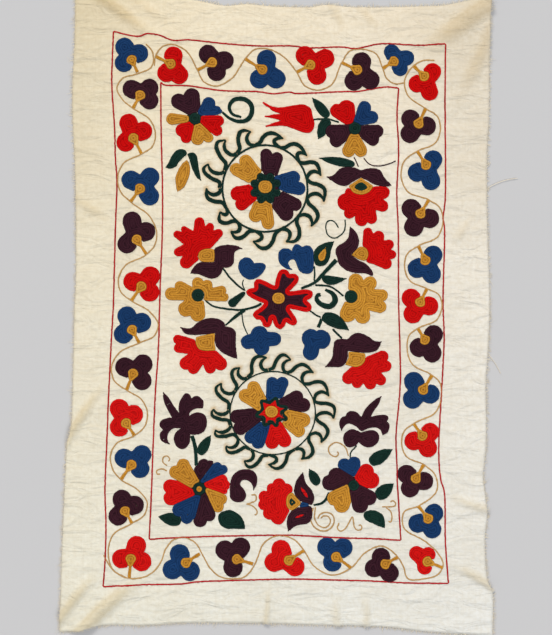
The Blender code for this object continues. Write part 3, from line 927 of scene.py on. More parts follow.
# the row of motifs between the two rings, from the right to the left
def workMiddleField():
    lobed("red", (372.5, 252.5, 11), (367.8, 232.5, 4.6), (378.5, 236.5, 5.6), (389, 244.5, 4.8),
          (391.5, 254.5, 4.4), (386, 263.5, 5.6))
    pointed("plum",
        [(350, 226.5), (355, 231), (358.5, 238), (358.5, 245), (355, 251)],
        [(352, 255.5), (358, 260), (366, 264), (372, 271)],
        [(374, 277.5), (366, 273.5), (357, 273), (347, 270.5), (339, 264), (337.5, 258),
         (335.5, 251), (338, 246), (344, 242.5), (348.5, 237)])
    pointed("ochre",
        [(351.5, 255), (356.5, 249.5), (361, 246.8), (366, 248.5), (368.3, 254), (366, 260),
         (360.5, 260), (356, 257.8)])

    pointed("blue",
        [(278.5, 252.7), (281.9, 249), (285.9, 248.4), (289.5, 249.2)],
        [(291.9, 251.4), (292.9, 247.4), (296, 244.2), (299.3, 245)],
        [(302.3, 247.4), (306, 245.5), (310, 246.4), (312.7, 250), (313.5, 255.4),
         (313.7, 263.4), (313, 269.5), (310.7, 272.8), (307, 273.8), (302, 272.8),
         (298.6, 269.5), (297, 265.5), (295.3, 260.8), (292.6, 259), (289.3, 260.8),
         (288.2, 263.4), (289.6, 266.8)],
        [(292.6, 269.8), (288.6, 269.5), (284.6, 267.5), (280.5, 264.1), (278.5, 259.4)])

    pointed("green",
        [(334.3, 241.1), (323.4, 243.6), (315.2, 249.5), (313.7, 258), (316.2, 265.2),
         (324.3, 265.3), (329.3, 258.6), (330.9, 250.3)])
    pointed("ochre",
        [(325.8, 247), (318.4, 255.3), (319.6, 260.8), (324, 259.8), (326, 253.6)], over=True)
    line("green", [(300.9, 288.7), (314.2, 282.8), (323.4, 273.6), (336.5, 259.8)], (2.2, 3.2, 4.2))
    line("green", [(314.2, 281), (314.6, 273), (314.2, 266)], 1.7)
    line("green", [(315, 285), (328.4, 286.2), (336, 290), (343.5, 296.2)], 2)
    pointed("green",
        [(347, 278.3), (338, 277.2), (328, 275.6), (322, 276.6), (323, 281.2), (328, 284.4),
         (335, 284.2), (342, 281.3)])
    line("green", [(325, 289.5), (332.6, 293.7), (335.1, 300.4), (330.1, 306.2), (321.7, 304.6),
                   (316.7, 299.5), (317.6, 295.4), (320.9, 294.5)], (2.4, 5.6, 5, 3.2))

    lobed("ochre", (357, 298, 9.5), (355.8, 281, 7.2), (370, 283.2, 6.6), (382, 295.3, 5.8),
          (380, 306.6, 6.2), (362.5, 316, 7.6), (347.8, 314, 8))
    fill("green", disc(351, 296.7, 6.3))

    line("green", [(309.7, 310.3), (315, 314.5), (321, 317.3)], 1.8)
    pointed("plum",
        [(274.8, 285.8), (276.5, 277.5), (279.2, 271), (283.3, 269.3), (287.5, 270.8)],
        [(289.9, 274.2), (294, 273.8), (298.3, 276.5), (298.2, 281), (293.5, 287)],
        [(288.6, 291.7), (298, 290.6), (307.5, 289.6), (312.6, 292.6), (311.3, 297.5)],
        [(306.5, 300.4), (310.8, 304.5), (311.2, 309.3), (307, 311.9), (298, 310.2)],
        [(289.3, 308.3), (293.8, 315), (297, 321.3), (294.8, 325), (290, 324.6)],
        [(286.3, 321.6), (284.2, 326.3), (280, 329.2), (275.3, 326.6), (273.3, 322)],
        [(272.4, 317.8), (271.6, 323.5), (268.3, 327), (263.8, 326.3), (262.3, 322.8)],
        [(260.4, 319.8), (256, 319), (252.8, 315), (255.5, 311), (260.5, 307.5)],
        [(264.4, 303.4), (256.5, 300.3), (249.5, 296.5), (246, 291.8), (249.5, 288.9)],
        [(254.3, 288), (254.3, 282.5), (257.8, 279.1), (264.5, 280.8), (270, 283.8)],
        edge="red", edgeRows=2)
    fill("ochre", limb(277.8, 298.3, 279.2, 298.3, 5.6, 5.6), over=True)

    pointed("blue",
        [(254.1, 263.4), (258.4, 263), (263.1, 263.2), (265.8, 265.8), (265.1, 268.8),
         (261.8, 273.5), (257.1, 277.5), (251.1, 279.5), (245.7, 278.2), (241, 274.2),
         (238.3, 266.8), (239.7, 261.4), (243, 258.4), (247.1, 257.5), (251.1, 259.1)])
    line("green", [(243.7, 279.5), (242.4, 283.5), (243.4, 287), (245, 291)], 1.2)
    line("green", [(223, 268.4), (229.9, 277.6), (236.8, 284.5), (244.5, 290.5)], 2)
    line("green", [(203.9, 298.3), (209, 303.5), (215.8, 307), (228, 309), (241.3, 309.9),
                   (254.4, 307), (261.8, 303.6)], (1.7, 2.5))
    line("green", [(245, 309.7), (240.4, 313), (235, 317), (225.4, 325.4)], (3.3, 3.0, 1.4))
    line("green", [(241.8, 313.4), (243.7, 325.4), (247.7, 334.5)], 1.3)
    fill("green", limb(243.5, 293.5, 232.5, 303, 2.0, 4.2))

    lobed("red", (200.5, 246, 9.5), (177, 234.3, 3.5), (184.2, 229.3, 3.1), (199.4, 222.2, 4.8),
          (210, 227, 4), (218.5, 233.4, 4.4), (178.4, 252, 4.3), (186.2, 262.3, 6.2))
    pointed("plum",
        [(242.8, 248.9), (238.5, 246.6), (232.2, 245.1), (225.3, 245.1), (219, 246.3),
         (214.4, 249.4), (214.5, 255.2)],
        [(214.4, 262.4), (207.5, 262.4), (201.7, 262.1), (196.6, 264.4), (192.6, 269)],
        [(190.3, 273.6), (197.1, 273.8), (201.7, 275.3), (208.1, 277.9), (213.8, 278.4),
         (218.4, 276.4), (221.5, 272.4)],
        [(223, 267.2), (227, 267.8), (231, 266.1), (233.6, 262.6), (233.9, 256.3), (235, 251.7),
         (239.1, 249.2)])
    pointed("ochre",
        [(214.1, 249.3), (206.5, 248.8), (200.5, 251), (198, 255.5), (199.5, 260), (203, 261.8)],
        [(214.1, 262.1), (214.6, 255.7)])

    lobed("ochre", (198.5, 295.6, 4.5), (171.4, 293.8, 6.3), (180, 286.3, 5.2), (197.8, 283, 5.6),
          (207, 285.5, 5.5), (221.8, 290.3, 4.4), (224.4, 297.2, 4.2), (186, 309, 7.6),
          (197.8, 313.8, 7.6))
    fill("green", disc(198, 295.2, 6.2))


# under the middle row, and both sides of the lower ring
def workLowerField():
    lobed("red", (205.5, 349.5, 6.5), (177.8, 339.4, 4.6), (178.6, 348, 4.6), (185.8, 363.4, 6.2),
          (193.5, 368.2, 5.6), (210.2, 368, 5.4), (220.6, 363.8, 6.4))
    pointed("plum",
        [(179.9, 327.1), (190.3, 328.4), (198.3, 322.3), (207.8, 318.3), (217.4, 318.8),
         (223.8, 322.3), (225.4, 326.3), (231.8, 327.9), (235.7, 332.7), (235.7, 344.6)],
        [(237.3, 359), (228.6, 355.8), (220.6, 351), (215.8, 344.6)],
        [(214.2, 333.5), (203.1, 334.3), (193.5, 334.8), (185.5, 333.5)])
    pointed("ochre",
        [(215, 333.2), (205, 335)],
        [(196, 337.3), (195.8, 343), (199, 349), (206, 350.6)],
        [(215.8, 350.3), (214.5, 342)])

    lobed("blue", (259.5, 339.5, 8), (259.5, 334.6, 8.5), (274.3, 339, 6.7), (261.5, 347.6, 7.7),
          (248, 342, 7))
    line("green", [(321.7, 318.4), (320, 323), (318, 327.7)], 3)
    line("green", [(332.5, 329), (337, 333.5), (342, 338.5)], 2.2)
    leaf((321.3, 315.4), (349.3, 330.4), 13, 1.5)
    lobed("blue", (313.5, 341, 7.4), (311, 338.4, 9.2), (320.8, 339.4, 9.6), (310.6, 352.4, 7.7))

    lobed("red", (364, 367.5, 9), (382.5, 356.5, 5.8), (386, 366, 5.4), (380.8, 380, 5.2),
          (370.3, 383.6, 5.8), (357, 382.8, 5.2), (348.4, 377.8, 6.2))
    pointed("plum",
        [(381.9, 341.3), (375.2, 341.4), (366.9, 335.9), (358.5, 332.9), (351.8, 335.1),
         (347.6, 339.3), (341.8, 338.8), (335.1, 340.9), (333.4, 348.5), (331.8, 358.5)],
        [(324.6, 367.3), (331.8, 366.8), (340.1, 366.8), (345.1, 363.5), (347.6, 356.8)],
        [(347.6, 350.6), (356.8, 351.8), (366.9, 352.6), (376.9, 350.1)])
    pointed("ochre",
        [(348.5, 351.5), (357, 352.4)],
        [(365.2, 353.5), (364.4, 361.8), (356.8, 366.8)],
        [(345.1, 364.8), (348.3, 358)])

    fill("plum", sharpOutline(
        [(162.9, 391.7), (168.2, 397.2), (174, 406.3)],
        [(179, 413), (179.3, 403), (184.8, 393.9), (189.5, 394.5)],
        [(191.5, 398.9), (194.5, 396.4), (199, 396.6), (203.2, 401.6)],
        [(203.1, 408.3), (195.6, 408.5), (189.8, 412.6), (189, 420), (187, 428.5), (181, 427.9),
         (173, 428.5), (168, 433.5), (167.4, 439.5)],
        [(170.2, 444.5), (164.9, 442.8), (160.6, 439.5), (160.2, 433.7)],
        [(163.3, 429.6), (159.5, 425.4), (161.6, 420.4), (168.2, 417.9)],
        [(172.4, 417.9), (168.6, 411.3), (164.1, 401.4)]),
         outline((186, 424), (189.8, 415.8), (197.3, 412.4), (204.7, 415), (206.9, 422.9),
                 (203.9, 431.2), (196.4, 434.5), (188.5, 433)),
         outline((184, 428), (189.5, 433), (190, 438), (189, 443.6), (184, 448.6), (177.4, 447),
                 (174, 439.5), (176.5, 431.8)), melt=0.3)
    pointed("plum",
        [(381.8, 395.9), (378, 404.7), (373.5, 411)],
        [(370.6, 417), (378.9, 415.1), (386.3, 415.3), (388.3, 418.8)],
        [(386.3, 421.3), (389.3, 424.6), (388.3, 431)],
        [(382.2, 435.4), (381, 430.5), (376.4, 427.4), (368.9, 428), (361, 430.8), (356, 426.2),
         (348.2, 423.3), (343.4, 427)],
        [(341.5, 431.2), (339.2, 423.5), (342, 417.3)],
        [(345.9, 416.5), (347, 413), (351.5, 411.1), (356.5, 412.3)],
        [(361.4, 417.1), (365.6, 408.8), (373.9, 400.5)])
    pointed("plum",
        [(358.6, 442), (355.6, 445.3), (349, 447.3), (343.9, 442.8), (344.1, 434.5),
         (350.7, 429.4), (357.5, 430.7), (361, 432.5), (366, 431), (373.9, 430.4), (379, 435),
         (377.2, 442.8), (370.6, 447), (363.9, 446.1)], gap=0.6)
    line("green", [(191.9, 435.5), (195.1, 446.7), (196.4, 465.8)], (3.6, 3.2))
    leaf((198.6, 455), (211, 435), 10)
    line("green", [(356.8, 445.4), (351, 452), (349.8, 457.9)], 1.5)
    line("brown", [(348.5, 456.2), (345.1, 447), (336.8, 442.4), (329.3, 446.2), (329.3, 452.9),
                   (335.1, 456.7), (338.5, 453.7), (337, 451.5)], 1.4)


# what fills the two hooked rings
def workRingFlowers():
    underlay("green", 265.6, 188.2, 15)
    underlay("green", 271.5, 411.6, 15)
    for colour, base, tips in (
            ("plum", (269.5, 176, 7.6), [(266.2, 154.6, 5.8), (276.8, 158.2, 6)]),
            ("blue", (276, 183.4, 7.2), [(293.4, 177.6, 6.6), (299, 188.6, 6.4)]),
            ("plum", (273.5, 195.5, 8), [(295.4, 204.6, 6.2), (286, 213.4, 7.4)]),
            ("ochre", (263.5, 199, 7.6), [(255.6, 215.4, 6.6), (268, 223, 6.2)]),
            ("red", (256.5, 190.6, 7), [(237.8, 193.6, 7.2), (241.6, 204.2, 6.2)]),
            ("ochre", (259, 180, 7.6), [(236.2, 169.4, 6.2), (245.8, 161.2, 6.4)])):
        lobed(colour, base, *tips)
    collar = dict(x=265.6, y=188.2, lobes=8, start=22, out=12.3, size=3.8, disc=9.8)
    x, y = collar["x"], collar["y"]
    discs = [disc(x, y, collar["disc"])]
    for k in range(collar["lobes"]):
        turn = math.radians(collar["start"] + 360 / collar["lobes"] * k)
        discs.append(disc(x + collar["out"] * math.cos(turn), y + collar["out"] * math.sin(turn),
                          collar["size"]))
    fill("green", *discs)
    fill("ochre", limb(264.6, 186.9, 265.8, 186.9, 6.4, 6.4), over=True)

    lobed("blue", (273.5, 400.5, 7.5), (272.3, 383, 5.9), (282.4, 382.8, 5.9))
    lobed("plum", (284.5, 405, 7.5), (296.6, 397, 6.5), (303.4, 405, 6.8))
    lobed("ochre", (283, 416, 7.4), (303.2, 420, 7), (298.5, 430.6, 6.3))
    lobed("red", (274.5, 425.5, 7.6), (272, 442, 6.8), (284.5, 440.3, 6.8))
    lobed("blue", (263.5, 421.5, 7.4), (250.6, 437.3, 6), (258.2, 441.8, 6.7))
    lobed("plum", (257, 415, 7), (236.8, 416.5, 6.7), (240.5, 427.8, 7))
    lobed("ochre", (261.5, 404.5, 7.2), (253.7, 387.6, 6.4), (245.3, 395.4, 6.5))
    star = dict(x=271.5, y=411.6, border=2.6, body=6.4, point=0.7, past=1.4, waist=9.6, tips=[
        (275.5, 399.7), (285, 408), (285, 418.4), (275.9, 424.2), (265.1, 423.8), (258.1, 415.1),
        (262.7, 402.2)])
    x, y, tips = star["x"], star["y"], star["tips"]
    wide = star["body"] + star["border"]
    fill("green", *[limb(x, y, *tip, wide, star["border"]) for tip in tips], worked=False)
    fill("red", *[limb(x, y, *tip, star["body"], star["point"]) for tip in tips], gap=0.0)
    border = []
    for (tipX, tipY), (nextX, nextY) in zip(tips, tips[1:] + tips[:1]):
        away = math.hypot(tipX - x, tipY - y)
        border.append((tipX + (tipX - x) * star["past"] / away,
                       tipY + (tipY - y) * star["past"] / away))
        halfX, halfY = (tipX + nextX) / 2 - x, (tipY + nextY) / 2 - y
        away = math.hypot(halfX, halfY)
        border.append((x + halfX * star["waist"] / away, y + halfY * star["waist"] / away))
    line("green", border, 3.3, True, 0.45)
    for tipX, tipY in tips:
        root = (x + (tipX - x) * 0.45, y + (tipY - y) * 0.45)
        spike("red", root, (tipX, tipY), 2.6, 0.55)
    fill("ochre", limb(270.9, 411.6, 272.1, 411.6, 5.8, 5.8), over=True)


# along the inner frame's lower side: a rosette, a comma, a palmette and a flower
def workFootOfField():
    leaf((182, 521), (158.1, 516.5), 12.5)
    pointed("green",
        [(245.3, 528.9), (236, 528.6), (225.4, 528.1), (219, 522), (219.5, 514), (229.5, 510),
         (239, 514.5), (243.5, 521)])
    underlay("green", 199.2, 488.7, 12)
    lobed("plum", (199.6, 484.5, 5.2), (199, 470.5, 5.2), (203.8, 464.4, 5.6), (210.2, 465.2, 4.8))
    lobed("blue", (202, 486.4, 4.8), (217, 467.6, 5.4), (223.2, 469.2, 4.3))
    lobed("red", (203, 488.7, 5), (222.6, 479.5, 4.8), (225.2, 485, 4.9), (222.6, 490.6, 4.7))
    lobed("ochre", (202.2, 491.2, 4.8), (221.6, 498.8, 5.4), (217.7, 506.2, 6))
    lobed("plum", (200, 492.4, 5.2), (200.2, 520.2, 6.8), (209.2, 514.8, 6.2))
    lobed("blue", (197, 491.4, 5), (179.4, 509.6, 6.9), (186.8, 517.9, 5.8), (190.8, 515.2, 4.8))
    lobed("red", (196, 489, 5), (170.5, 486.6, 7.2), (170.8, 498, 7.2))
    lobed("ochre", (196.6, 485.4, 4.8), (183.3, 465.2, 6.4), (175.6, 472, 6.3))
    fill("green", disc(199.2, 488.7, 6.2))
    fill("ochre", disc(199.2, 488.9, 2.9), over=True)
    line("brown", [(167.2, 465.9), (162.9, 462), (163.5, 457.2), (167.2, 456.1), (169.9, 458.8),
                   (168.3, 461.5)], 1.4)
    line("brown", [(167.2, 470.7), (161.6, 468.8), (156.8, 470.7), (157.1, 473.9),
                   (160.5, 473.9)], 1.4)

    pointed("plum",
        [(253.3, 490.7), (252.2, 484.3), (247.7, 480.3), (242.1, 480.3), (240, 484.3),
         (243.7, 489.1), (246.1, 495.4), (242.9, 501), (235.8, 501.8), (230.4, 497.5),
         (230, 488), (231, 480.3), (235, 473.1), (242.9, 469.5), (251.7, 470.2), (256.5, 475.5),
         (256.8, 482.7)])
    line("brown", [(251.2, 495), (255.7, 495.1), (255.7, 500.2), (251.2, 502.8),
                   (246.1, 503.9)], 1.4)
    line("brown", [(246.1, 503.9), (251.7, 505.5), (256.5, 509.8), (256.9, 513.8),
                   (254.6, 514.9)], 1.4)

    lobed("red", (284, 501, 9.5), (286.5, 489.5, 6), (279, 484.8, 6.5), (272, 488.5, 5.2),
          (264.3, 496.5, 5.6), (263.8, 504.5, 5.4), (269.5, 513, 6.4), (278, 517.4, 7))
    pointed("plum",
        [(303, 472.1), (305.9, 483.4), (311.7, 490.1), (314.2, 498.5)],
        [(311.7, 505.1), (300, 502), (294.5, 493), (294.7, 487), (296.7, 480.1)])
    pointed("plum",
        [(287.9, 531.6), (287, 520.2), (290.8, 512), (300, 506.8), (310.9, 506.5), (312, 516.8),
         (308.4, 522.7), (296.7, 525.4)])
    lobed("blue", (300.5, 504.3, 3), (307.5, 504.9, 1.6))
    fill("ochre", outline((286.2, 501.6), (287.6, 495.6), (291.8, 492.6), (296.5, 497.5),
                          (300.8, 503.3), (296, 508), (291.3, 510.2), (287.2, 507.3)))
    line("green", [(290.8, 499.8), (294.4, 502), (291, 504.2)], 2.8, True, 0.5)
    # two red eyes, each of two rows that part in the middle
    for eyeX, eyeY, reachX, reachY in ((304.4, 492.4, 3.3, 5.2), (299.7, 516, 4.2, -1.7)):
        for aside in (-0.9, 0.9):
            for turn in (1, -1):
                bend = (eyeX + aside * 0.8 + reachX * turn * 0.5, eyeY + reachY * turn * 0.5)
                end = (eyeX + reachX * turn, eyeY + reachY * turn)
                line("red", [(eyeX + aside, eyeY), bend, end], (2.24, 1.96, 0.8), lift=0.35)
    line("green", [(313.4, 505.1), (320.9, 503.5), (325.9, 499.3), (329.8, 492.6)], (1.8, 3.2))

    leaf((318.5, 485.3), (308.9, 468.4), 9.5)
    leaf((369, 463.4), (392.8, 449), 12.5)
    leaf((375.8, 497.8), (393.9, 483.4), 13)
    pointed("green",
        [(384.6, 528.2), (384.6, 521), (381.9, 514.3), (373.5, 510.3), (364.5, 512.3),
         (365.2, 519.3), (373.5, 523.5)])
    underlay("plum", 353.6, 485.3, 9.5)
    lobed("blue", (353.4, 481, 4.4), (344.3, 465, 6.4), (354.1, 463, 6.4))
    lobed("red", (357.2, 483, 5.6), (366.3, 471.2, 7.4), (371, 480.2, 8.2))
    lobed("plum", (349, 482.8, 7.2), (336.2, 475.4, 7.7), (329.9, 482.6, 7.7))
    lobed("ochre", (349, 490, 6.2), (334.5, 498, 7.4), (341.7, 504.6, 7.9))
    lobed("plum", (356, 490, 6.4), (369, 497.6, 7.4), (360, 504.9, 8))
    fill("green", disc(353.6, 485.3, 5.2))
    line("brown", [(313.4, 507.6), (310.4, 518.5), (315.1, 527.7), (324.3, 531), (331.8, 526.9),
                   (334.3, 520.2), (331.8, 514.3), (325.9, 512.2), (320.1, 514.3),
                   (317.6, 518.8)], 1.5)
    line("brown", [(315.6, 507), (314.4, 517.5), (318, 524.7), (324.3, 527.6), (328.8, 525),
                   (330.4, 520.4), (328.2, 516.6), (324, 515.8), (320.6, 518.4)], 1.4)
    line("brown", [(339.3, 522.7), (337.3, 527.7), (340.1, 531), (344.3, 529.4), (348.5, 523.5),
                   (352.2, 516.8), (353.5, 521.8), (354.3, 526.9), (357.7, 530.2), (361.8, 528.5),
                   (361, 525.2), (358.5, 525.2)], 1.4)
    line("brown", [(381.9, 506.8), (388.6, 506.8), (394.4, 506), (395.6, 503.1), (392.8, 500.6),
                   (390.3, 502.1)], 1.4)
    line("brown", [(386, 507.6), (390.3, 511), (391.9, 516), (390.8, 521.8), (388.2, 521)], 1.4)


# left of the upper ring: a hanging bud between two leaves
def workLeafGroup():
    pointed("green",
        [(187.2, 154), (185.2, 150.4), (180.6, 149.2), (176, 150.9), (171.9, 156), (168.9, 162.7)],
        [(165.3, 167.4), (170.4, 168.6), (176, 166.2), (179.1, 161.6), (182.7, 158)])
    pointed("green",
        [(187.2, 154), (190.8, 152.7), (194.9, 153.5), (197.1, 157.6), (198.2, 164.7),
         (199.7, 173.9)],
        [(201.5, 181), (197.8, 178.5), (194.2, 172.9), (191.6, 166.7), (189.6, 159.6)])
    pointed("ochre",
        [(187.2, 159.8), (189.8, 166.7), (189.3, 174.9), (185.7, 184.1), (182.7, 188.2)],
        [(177.6, 192), (176.3, 186.1), (175.7, 178), (178.1, 170.8), (182.7, 163.7)])


def makeMaterial(name, roughness, specular=0.3, sheen=0.0):
    material = bpy.data.materials.new(name)
    material.use_nodes = True
    tree = material.node_tree
    shader = tree.nodes["Principled BSDF"]
    shader.inputs["Roughness"].default_value = roughness
    shader.inputs["Specular IOR Level"].default_value = specular
    shader.inputs["Sheen Weight"].default_value = sheen
    shader.inputs["Sheen Roughness"].default_value = 0.45
    return material, tree, shader


# a node with its settings; links give an input's name or place and what feeds it
def node(tree, kind, links=None, **settings):
    made = tree.nodes.new(kind)
    for key, value in settings.items():
        setattr(made, key, value)
    for socket, source in (links or {}).items():
        if isinstance(source, bpy.types.NodeSocket):
            tree.links.new(source, made.inputs[socket])
        else:
            made.inputs[socket].default_value = source
    return made


def mixColour(tree, blend, share, first, second):
    return node(tree, "ShaderNodeMix", {0: share, 6: first, 7: second},
                data_type="RGBA", blend_type=blend).outputs[2]


def noise(tree, place, scale, detail):
    return node(tree, "ShaderNodeTexNoise",
                {"Vector": place, "Scale": scale, "Detail": detail}).outputs[0]


def stored(tree, name, output):
    return node(tree, "ShaderNodeAttribute", attribute_name=name).outputs[output]


def turned(tree, place, **settings):
    links = {"Vector": place} | {name.title(): value for name, value in settings.items()}
    return node(tree, "ShaderNodeMapping", links).outputs[0]


def bumped(tree, height, strength, distance, **under):
    links = {"Height": height, "Strength": strength, "Distance": distance} | under
    return node(tree, "ShaderNodeBump", links).outputs[0]


def ramp(tree, source, low, high, lowValue=0.0, highValue=1.0):
    return node(tree, "ShaderNodeMapRange",
                {0: source, 1: low, 2: high, 3: lowValue, 4: highValue}).outputs[0]


# thread colours, linear: the dyed thread, its darker strands, how far rows differ, and lines: how
# strong the painted shade between rows is
threads = dict(
    red=dict(dyed=(0.59, 0.002, 0.002), dark=(0.36, 0.001, 0.001), vary=0.5, lines=0.5,
             lower=(0.68, 0.007, 0.006)),
    crimson=dict(dyed=(0.50, 0.018, 0.020), dark=(0.18, 0.008, 0.010), vary=0.6, lines=0.4),
    blue=dict(dyed=(0.0095, 0.045, 0.142), dark=(0.004, 0.018, 0.06), vary=0.6, lines=0.36),
    plum=dict(dyed=(0.044, 0.0115, 0.020), dark=(0.014, 0.004, 0.008), vary=0.7, lines=0.45),
    green=dict(dyed=(0.0075, 0.034, 0.025), dark=(0.003, 0.010, 0.008), vary=0.7, lines=0.4),
    ochre=dict(dyed=(0.60, 0.285, 0.034), dark=(0.36, 0.14, 0.014), vary=0.8, lines=0.65),
    brown=dict(dyed=(0.54, 0.33, 0.13), dark=(0.28, 0.15, 0.05), vary=0.6, lines=0.4),
)


# what every thread has: scales of its fuzz, of the dye's drift and of its ply, and its relief
floss = dict(roughness=0.7, fuzz=700.0, drift=22.0, ply=0.62, plyTurn=0.6, relief=0.00012,
             lowerFrom=0.12, valleyShade=0.55)


def threadMaterial(colour):
    look = threads[colour]
    material, tree, shader = makeMaterial("thread_" + colour, floss["roughness"], 0.05)
    tone = stored(tree, "tone", "Fac")
    valley = stored(tree, "valley", "Fac")
    place = node(tree, "ShaderNodeTexCoord").outputs["Object"]
    fuzz = noise(tree, place, floss["fuzz"], 3.0)
    drift = noise(tree, place, floss["drift"], 2.0)
    dyed, dark = (*look["dyed"], 1), (*look["dark"], 1)
    if "lower" in look:
        upwards = node(tree, "ShaderNodeSeparateXYZ", {0: place}).outputs["Y"]
        share = ramp(tree, upwards, floss["lowerFrom"], -floss["lowerFrom"])
        dyed = mixColour(tree, "MIX", share, dyed, (*look["lower"], 1))
    dyed = mixColour(tree, "MIX", ramp(tree, tone, -2.0, 2.0, 0.5 * look["vary"], 0.0), dyed, dark)
    dyed = mixColour(tree, "MIX", ramp(tree, drift, 0.35, 0.75, 0.0, 0.3), dyed, dark)
    grain = ramp(tree, fuzz, 0.3, 0.8, 0.86, 1.14)
    grains = node(tree, "ShaderNodeCombineColor", {0: grain, 1: grain, 2: grain}).outputs[0]
    dyed = mixColour(tree, "MULTIPLY", 1.0, dyed, grains)
    # painted shade: the valleys between rows, the bed, and where each loop is caught are darkened
    # toward the thread's dark colour
    deep = ramp(tree, valley, 0.12, 0.55, 0.0, look["lines"])
    shaded = (*[part * floss["valleyShade"] for part in look["dark"]], 1)
    tree.links.new(mixColour(tree, "MIX", deep, dyed, shaded), shader.inputs["Base Color"])
    along = turned(tree, stored(tree, "strand", "Vector"), rotation=(0, 0, floss["plyTurn"]))
    ply = node(tree, "ShaderNodeTexWave", {
        "Vector": along, "Scale": floss["ply"], "Distortion": 1.2, "Detail": 1.0,
        "Detail Scale": 1.5}).outputs["Fac"]
    height = node(tree, "ShaderNodeMath", {0: ply, 1: fuzz}, operation="ADD").outputs[0]
    tree.links.new(bumped(tree, height, 0.5, floss["relief"]), shader.inputs["Normal"])
    return material


# the undyed cotton, linear colours
cotton = dict(
    pale=(0.84, 0.775, 0.64), warm=(0.70, 0.60, 0.43), slub=(0.62, 0.53, 0.38),
    # the last colour is painted shade, seen in the gaps between the weave's threads
    weaveShade=(0.34, 0.27, 0.17),
    threadPitch=0.62,          # mm from thread to thread of the weave
    lying=620.0, upright=560.0, cloud=9.0, mottle=230.0,    # scales of slubs, clouds and specks
    weaveHeight=0.00025,
    creaseRate=60.0, creaseHeight=0.0068, creaseTurn=0.25, creaseStretch=0.4,
)


def cottonMaterial():
    material, tree, shader = makeMaterial("ground_cotton", 0.88, 0.15, 0.12)
    place = node(tree, "ShaderNodeTexCoord").outputs["Object"]
    rate = math.pi / cotton["threadPitch"] / mm / 10

    def threadsAlong(axis, shift):
        return node(tree, "ShaderNodeTexWave", {
            "Vector": turned(tree, place, location=(shift, 0, 0)), "Scale": rate,
            "Distortion": 0.6, "Detail": 1.0, "Detail Scale": 0.05},
            bands_direction=axis).outputs["Fac"]

    def slubs(stretch, scale):
        return noise(tree, turned(tree, place, scale=stretch), scale, 4.0)

    weave = node(tree, "ShaderNodeMath", {0: threadsAlong("X", 0.0), 1: threadsAlong("Y", 0.013)},
                 operation="MULTIPLY").outputs[0]
    colour = (*cotton["pale"], 1)
    for name, stretch, low, high, most, spot in (
            ("cloud", (1, 1, 1), 0.35, 0.7, 0.42, "warm"),
            ("mottle", (1, 1, 1), 0.3, 0.76, 0.6, "warm"),
            ("lying", (0.04, 1, 1), 0.5, 0.78, 0.34, "slub"),
            ("upright", (1, 0.05, 1), 0.52, 0.8, 0.26, "slub")):
        share = ramp(tree, slubs(stretch, cotton[name]), low, high, 0.0, most)
        colour = mixColour(tree, "MIX", share, colour, (*cotton[spot], 1))
    colour = mixColour(tree, "MULTIPLY", 1.0, colour, stored(tree, "tint", "Color"))
    # painted shade in the gaps between the weave's threads
    weaveShadeShare = ramp(tree, weave, 0.0, 0.25, 0.16, 0.0)
    colour = mixColour(tree, "MIX", weaveShadeShare, colour, (*cotton["weaveShade"], 1))
    tree.links.new(colour, shader.inputs["Base Color"])
    lumps = node(tree, "ShaderNodeMath", {0: weave, 1: slubs((0.06, 1, 1), cotton["lying"])},
                 operation="ADD").outputs[0]
    creases = node(tree, "ShaderNodeTexNoise", {
        "Vector": turned(tree, place, rotation=(0, 0, cotton["creaseTurn"]),
                         scale=(cotton["creaseStretch"], 1, 1)),
        "Scale": cotton["creaseRate"], "Detail": 3.0, "Distortion": 0.8}).outputs[0]
    creased = bumped(tree, creases, 0.8, cotton["creaseHeight"])
    normal = bumped(tree, lumps, 0.35, cotton["weaveHeight"], Normal=creased)
    tree.links.new(normal, shader.inputs["Normal"])
    return material


# the raw-edged cotton, two faces and a thin rim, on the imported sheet's folds
def makeCloth(covered):
    across, along = cloth["stepsAcross"], cloth["stepsAlong"]
    u, v = np.meshgrid(np.linspace(0, 1, across + 1), np.linspace(0, 1, along + 1))
    x, y = sheetPoints(u.ravel(), v.ravel())
    z = clothHeight(x, y)
    under = np.column_stack([x, y, z])
    over = under + (0, 0, cloth["thick"])
    j, i = np.meshgrid(np.arange(along), np.arange(across), indexing="ij")
    a = (j * (across + 1) + i).ravel()
    b, c, d = a + 1, a + across + 2, a + across + 1
    shift = len(under)
    top = np.column_stack([a, b, c, d]) + shift
    bottom = np.column_stack([d, c, b, a])
    rim = np.concatenate([np.arange(across), np.arange(along) * (across + 1) + across,
                          along * (across + 1) + np.arange(across, 0, -1),
                          np.arange(along, 0, -1) * (across + 1)])
    there = np.roll(rim, -1)
    side = np.column_stack([rim, there, there + shift, rim + shift])
    piece = meshFromArrays("ground_cloth_cotton", np.vstack([under, over]),
                           np.vstack([top, bottom, side]))
    tint = clothTint(x, y, covered)
    setAttribute(piece, "tint", np.vstack([tint, tint]), "FLOAT_COLOR")
    return piece


# dye that has run: the cotton's tone beside a wave, and how far off it begins and reaches
dye = dict(halo=(0.68, 0.49, 0.27), start=1.5, reach=3.4, fade=1.3, most=0.75, farthest=9)
# the cotton's tone at the middle, then painted light: what it gains to the right end and to the
# upper end;
# then painted shade in the upper corners, and painted shade on a fold that stands foldTop
# millimetres high
tone = dict(middle=(0.94, 0.975, 1.03), right=(0.0, 0.015, 0.08), up=(0.03, -0.02, -0.105),
            halfWide=260, halfHigh=385, corner=(0.86, 0.85, 0.82), cornerX=(150, 235),
            cornerY=(60, 340), fold=(0.90, 0.84, 0.73), foldTop=3.4)
# painted shade: there the cotton takes its thread's dark colour, for the shade in the gaps between
# rows
darkUnder = 3.0     # mm inside a worked shape from which the cotton takes its thread's colour
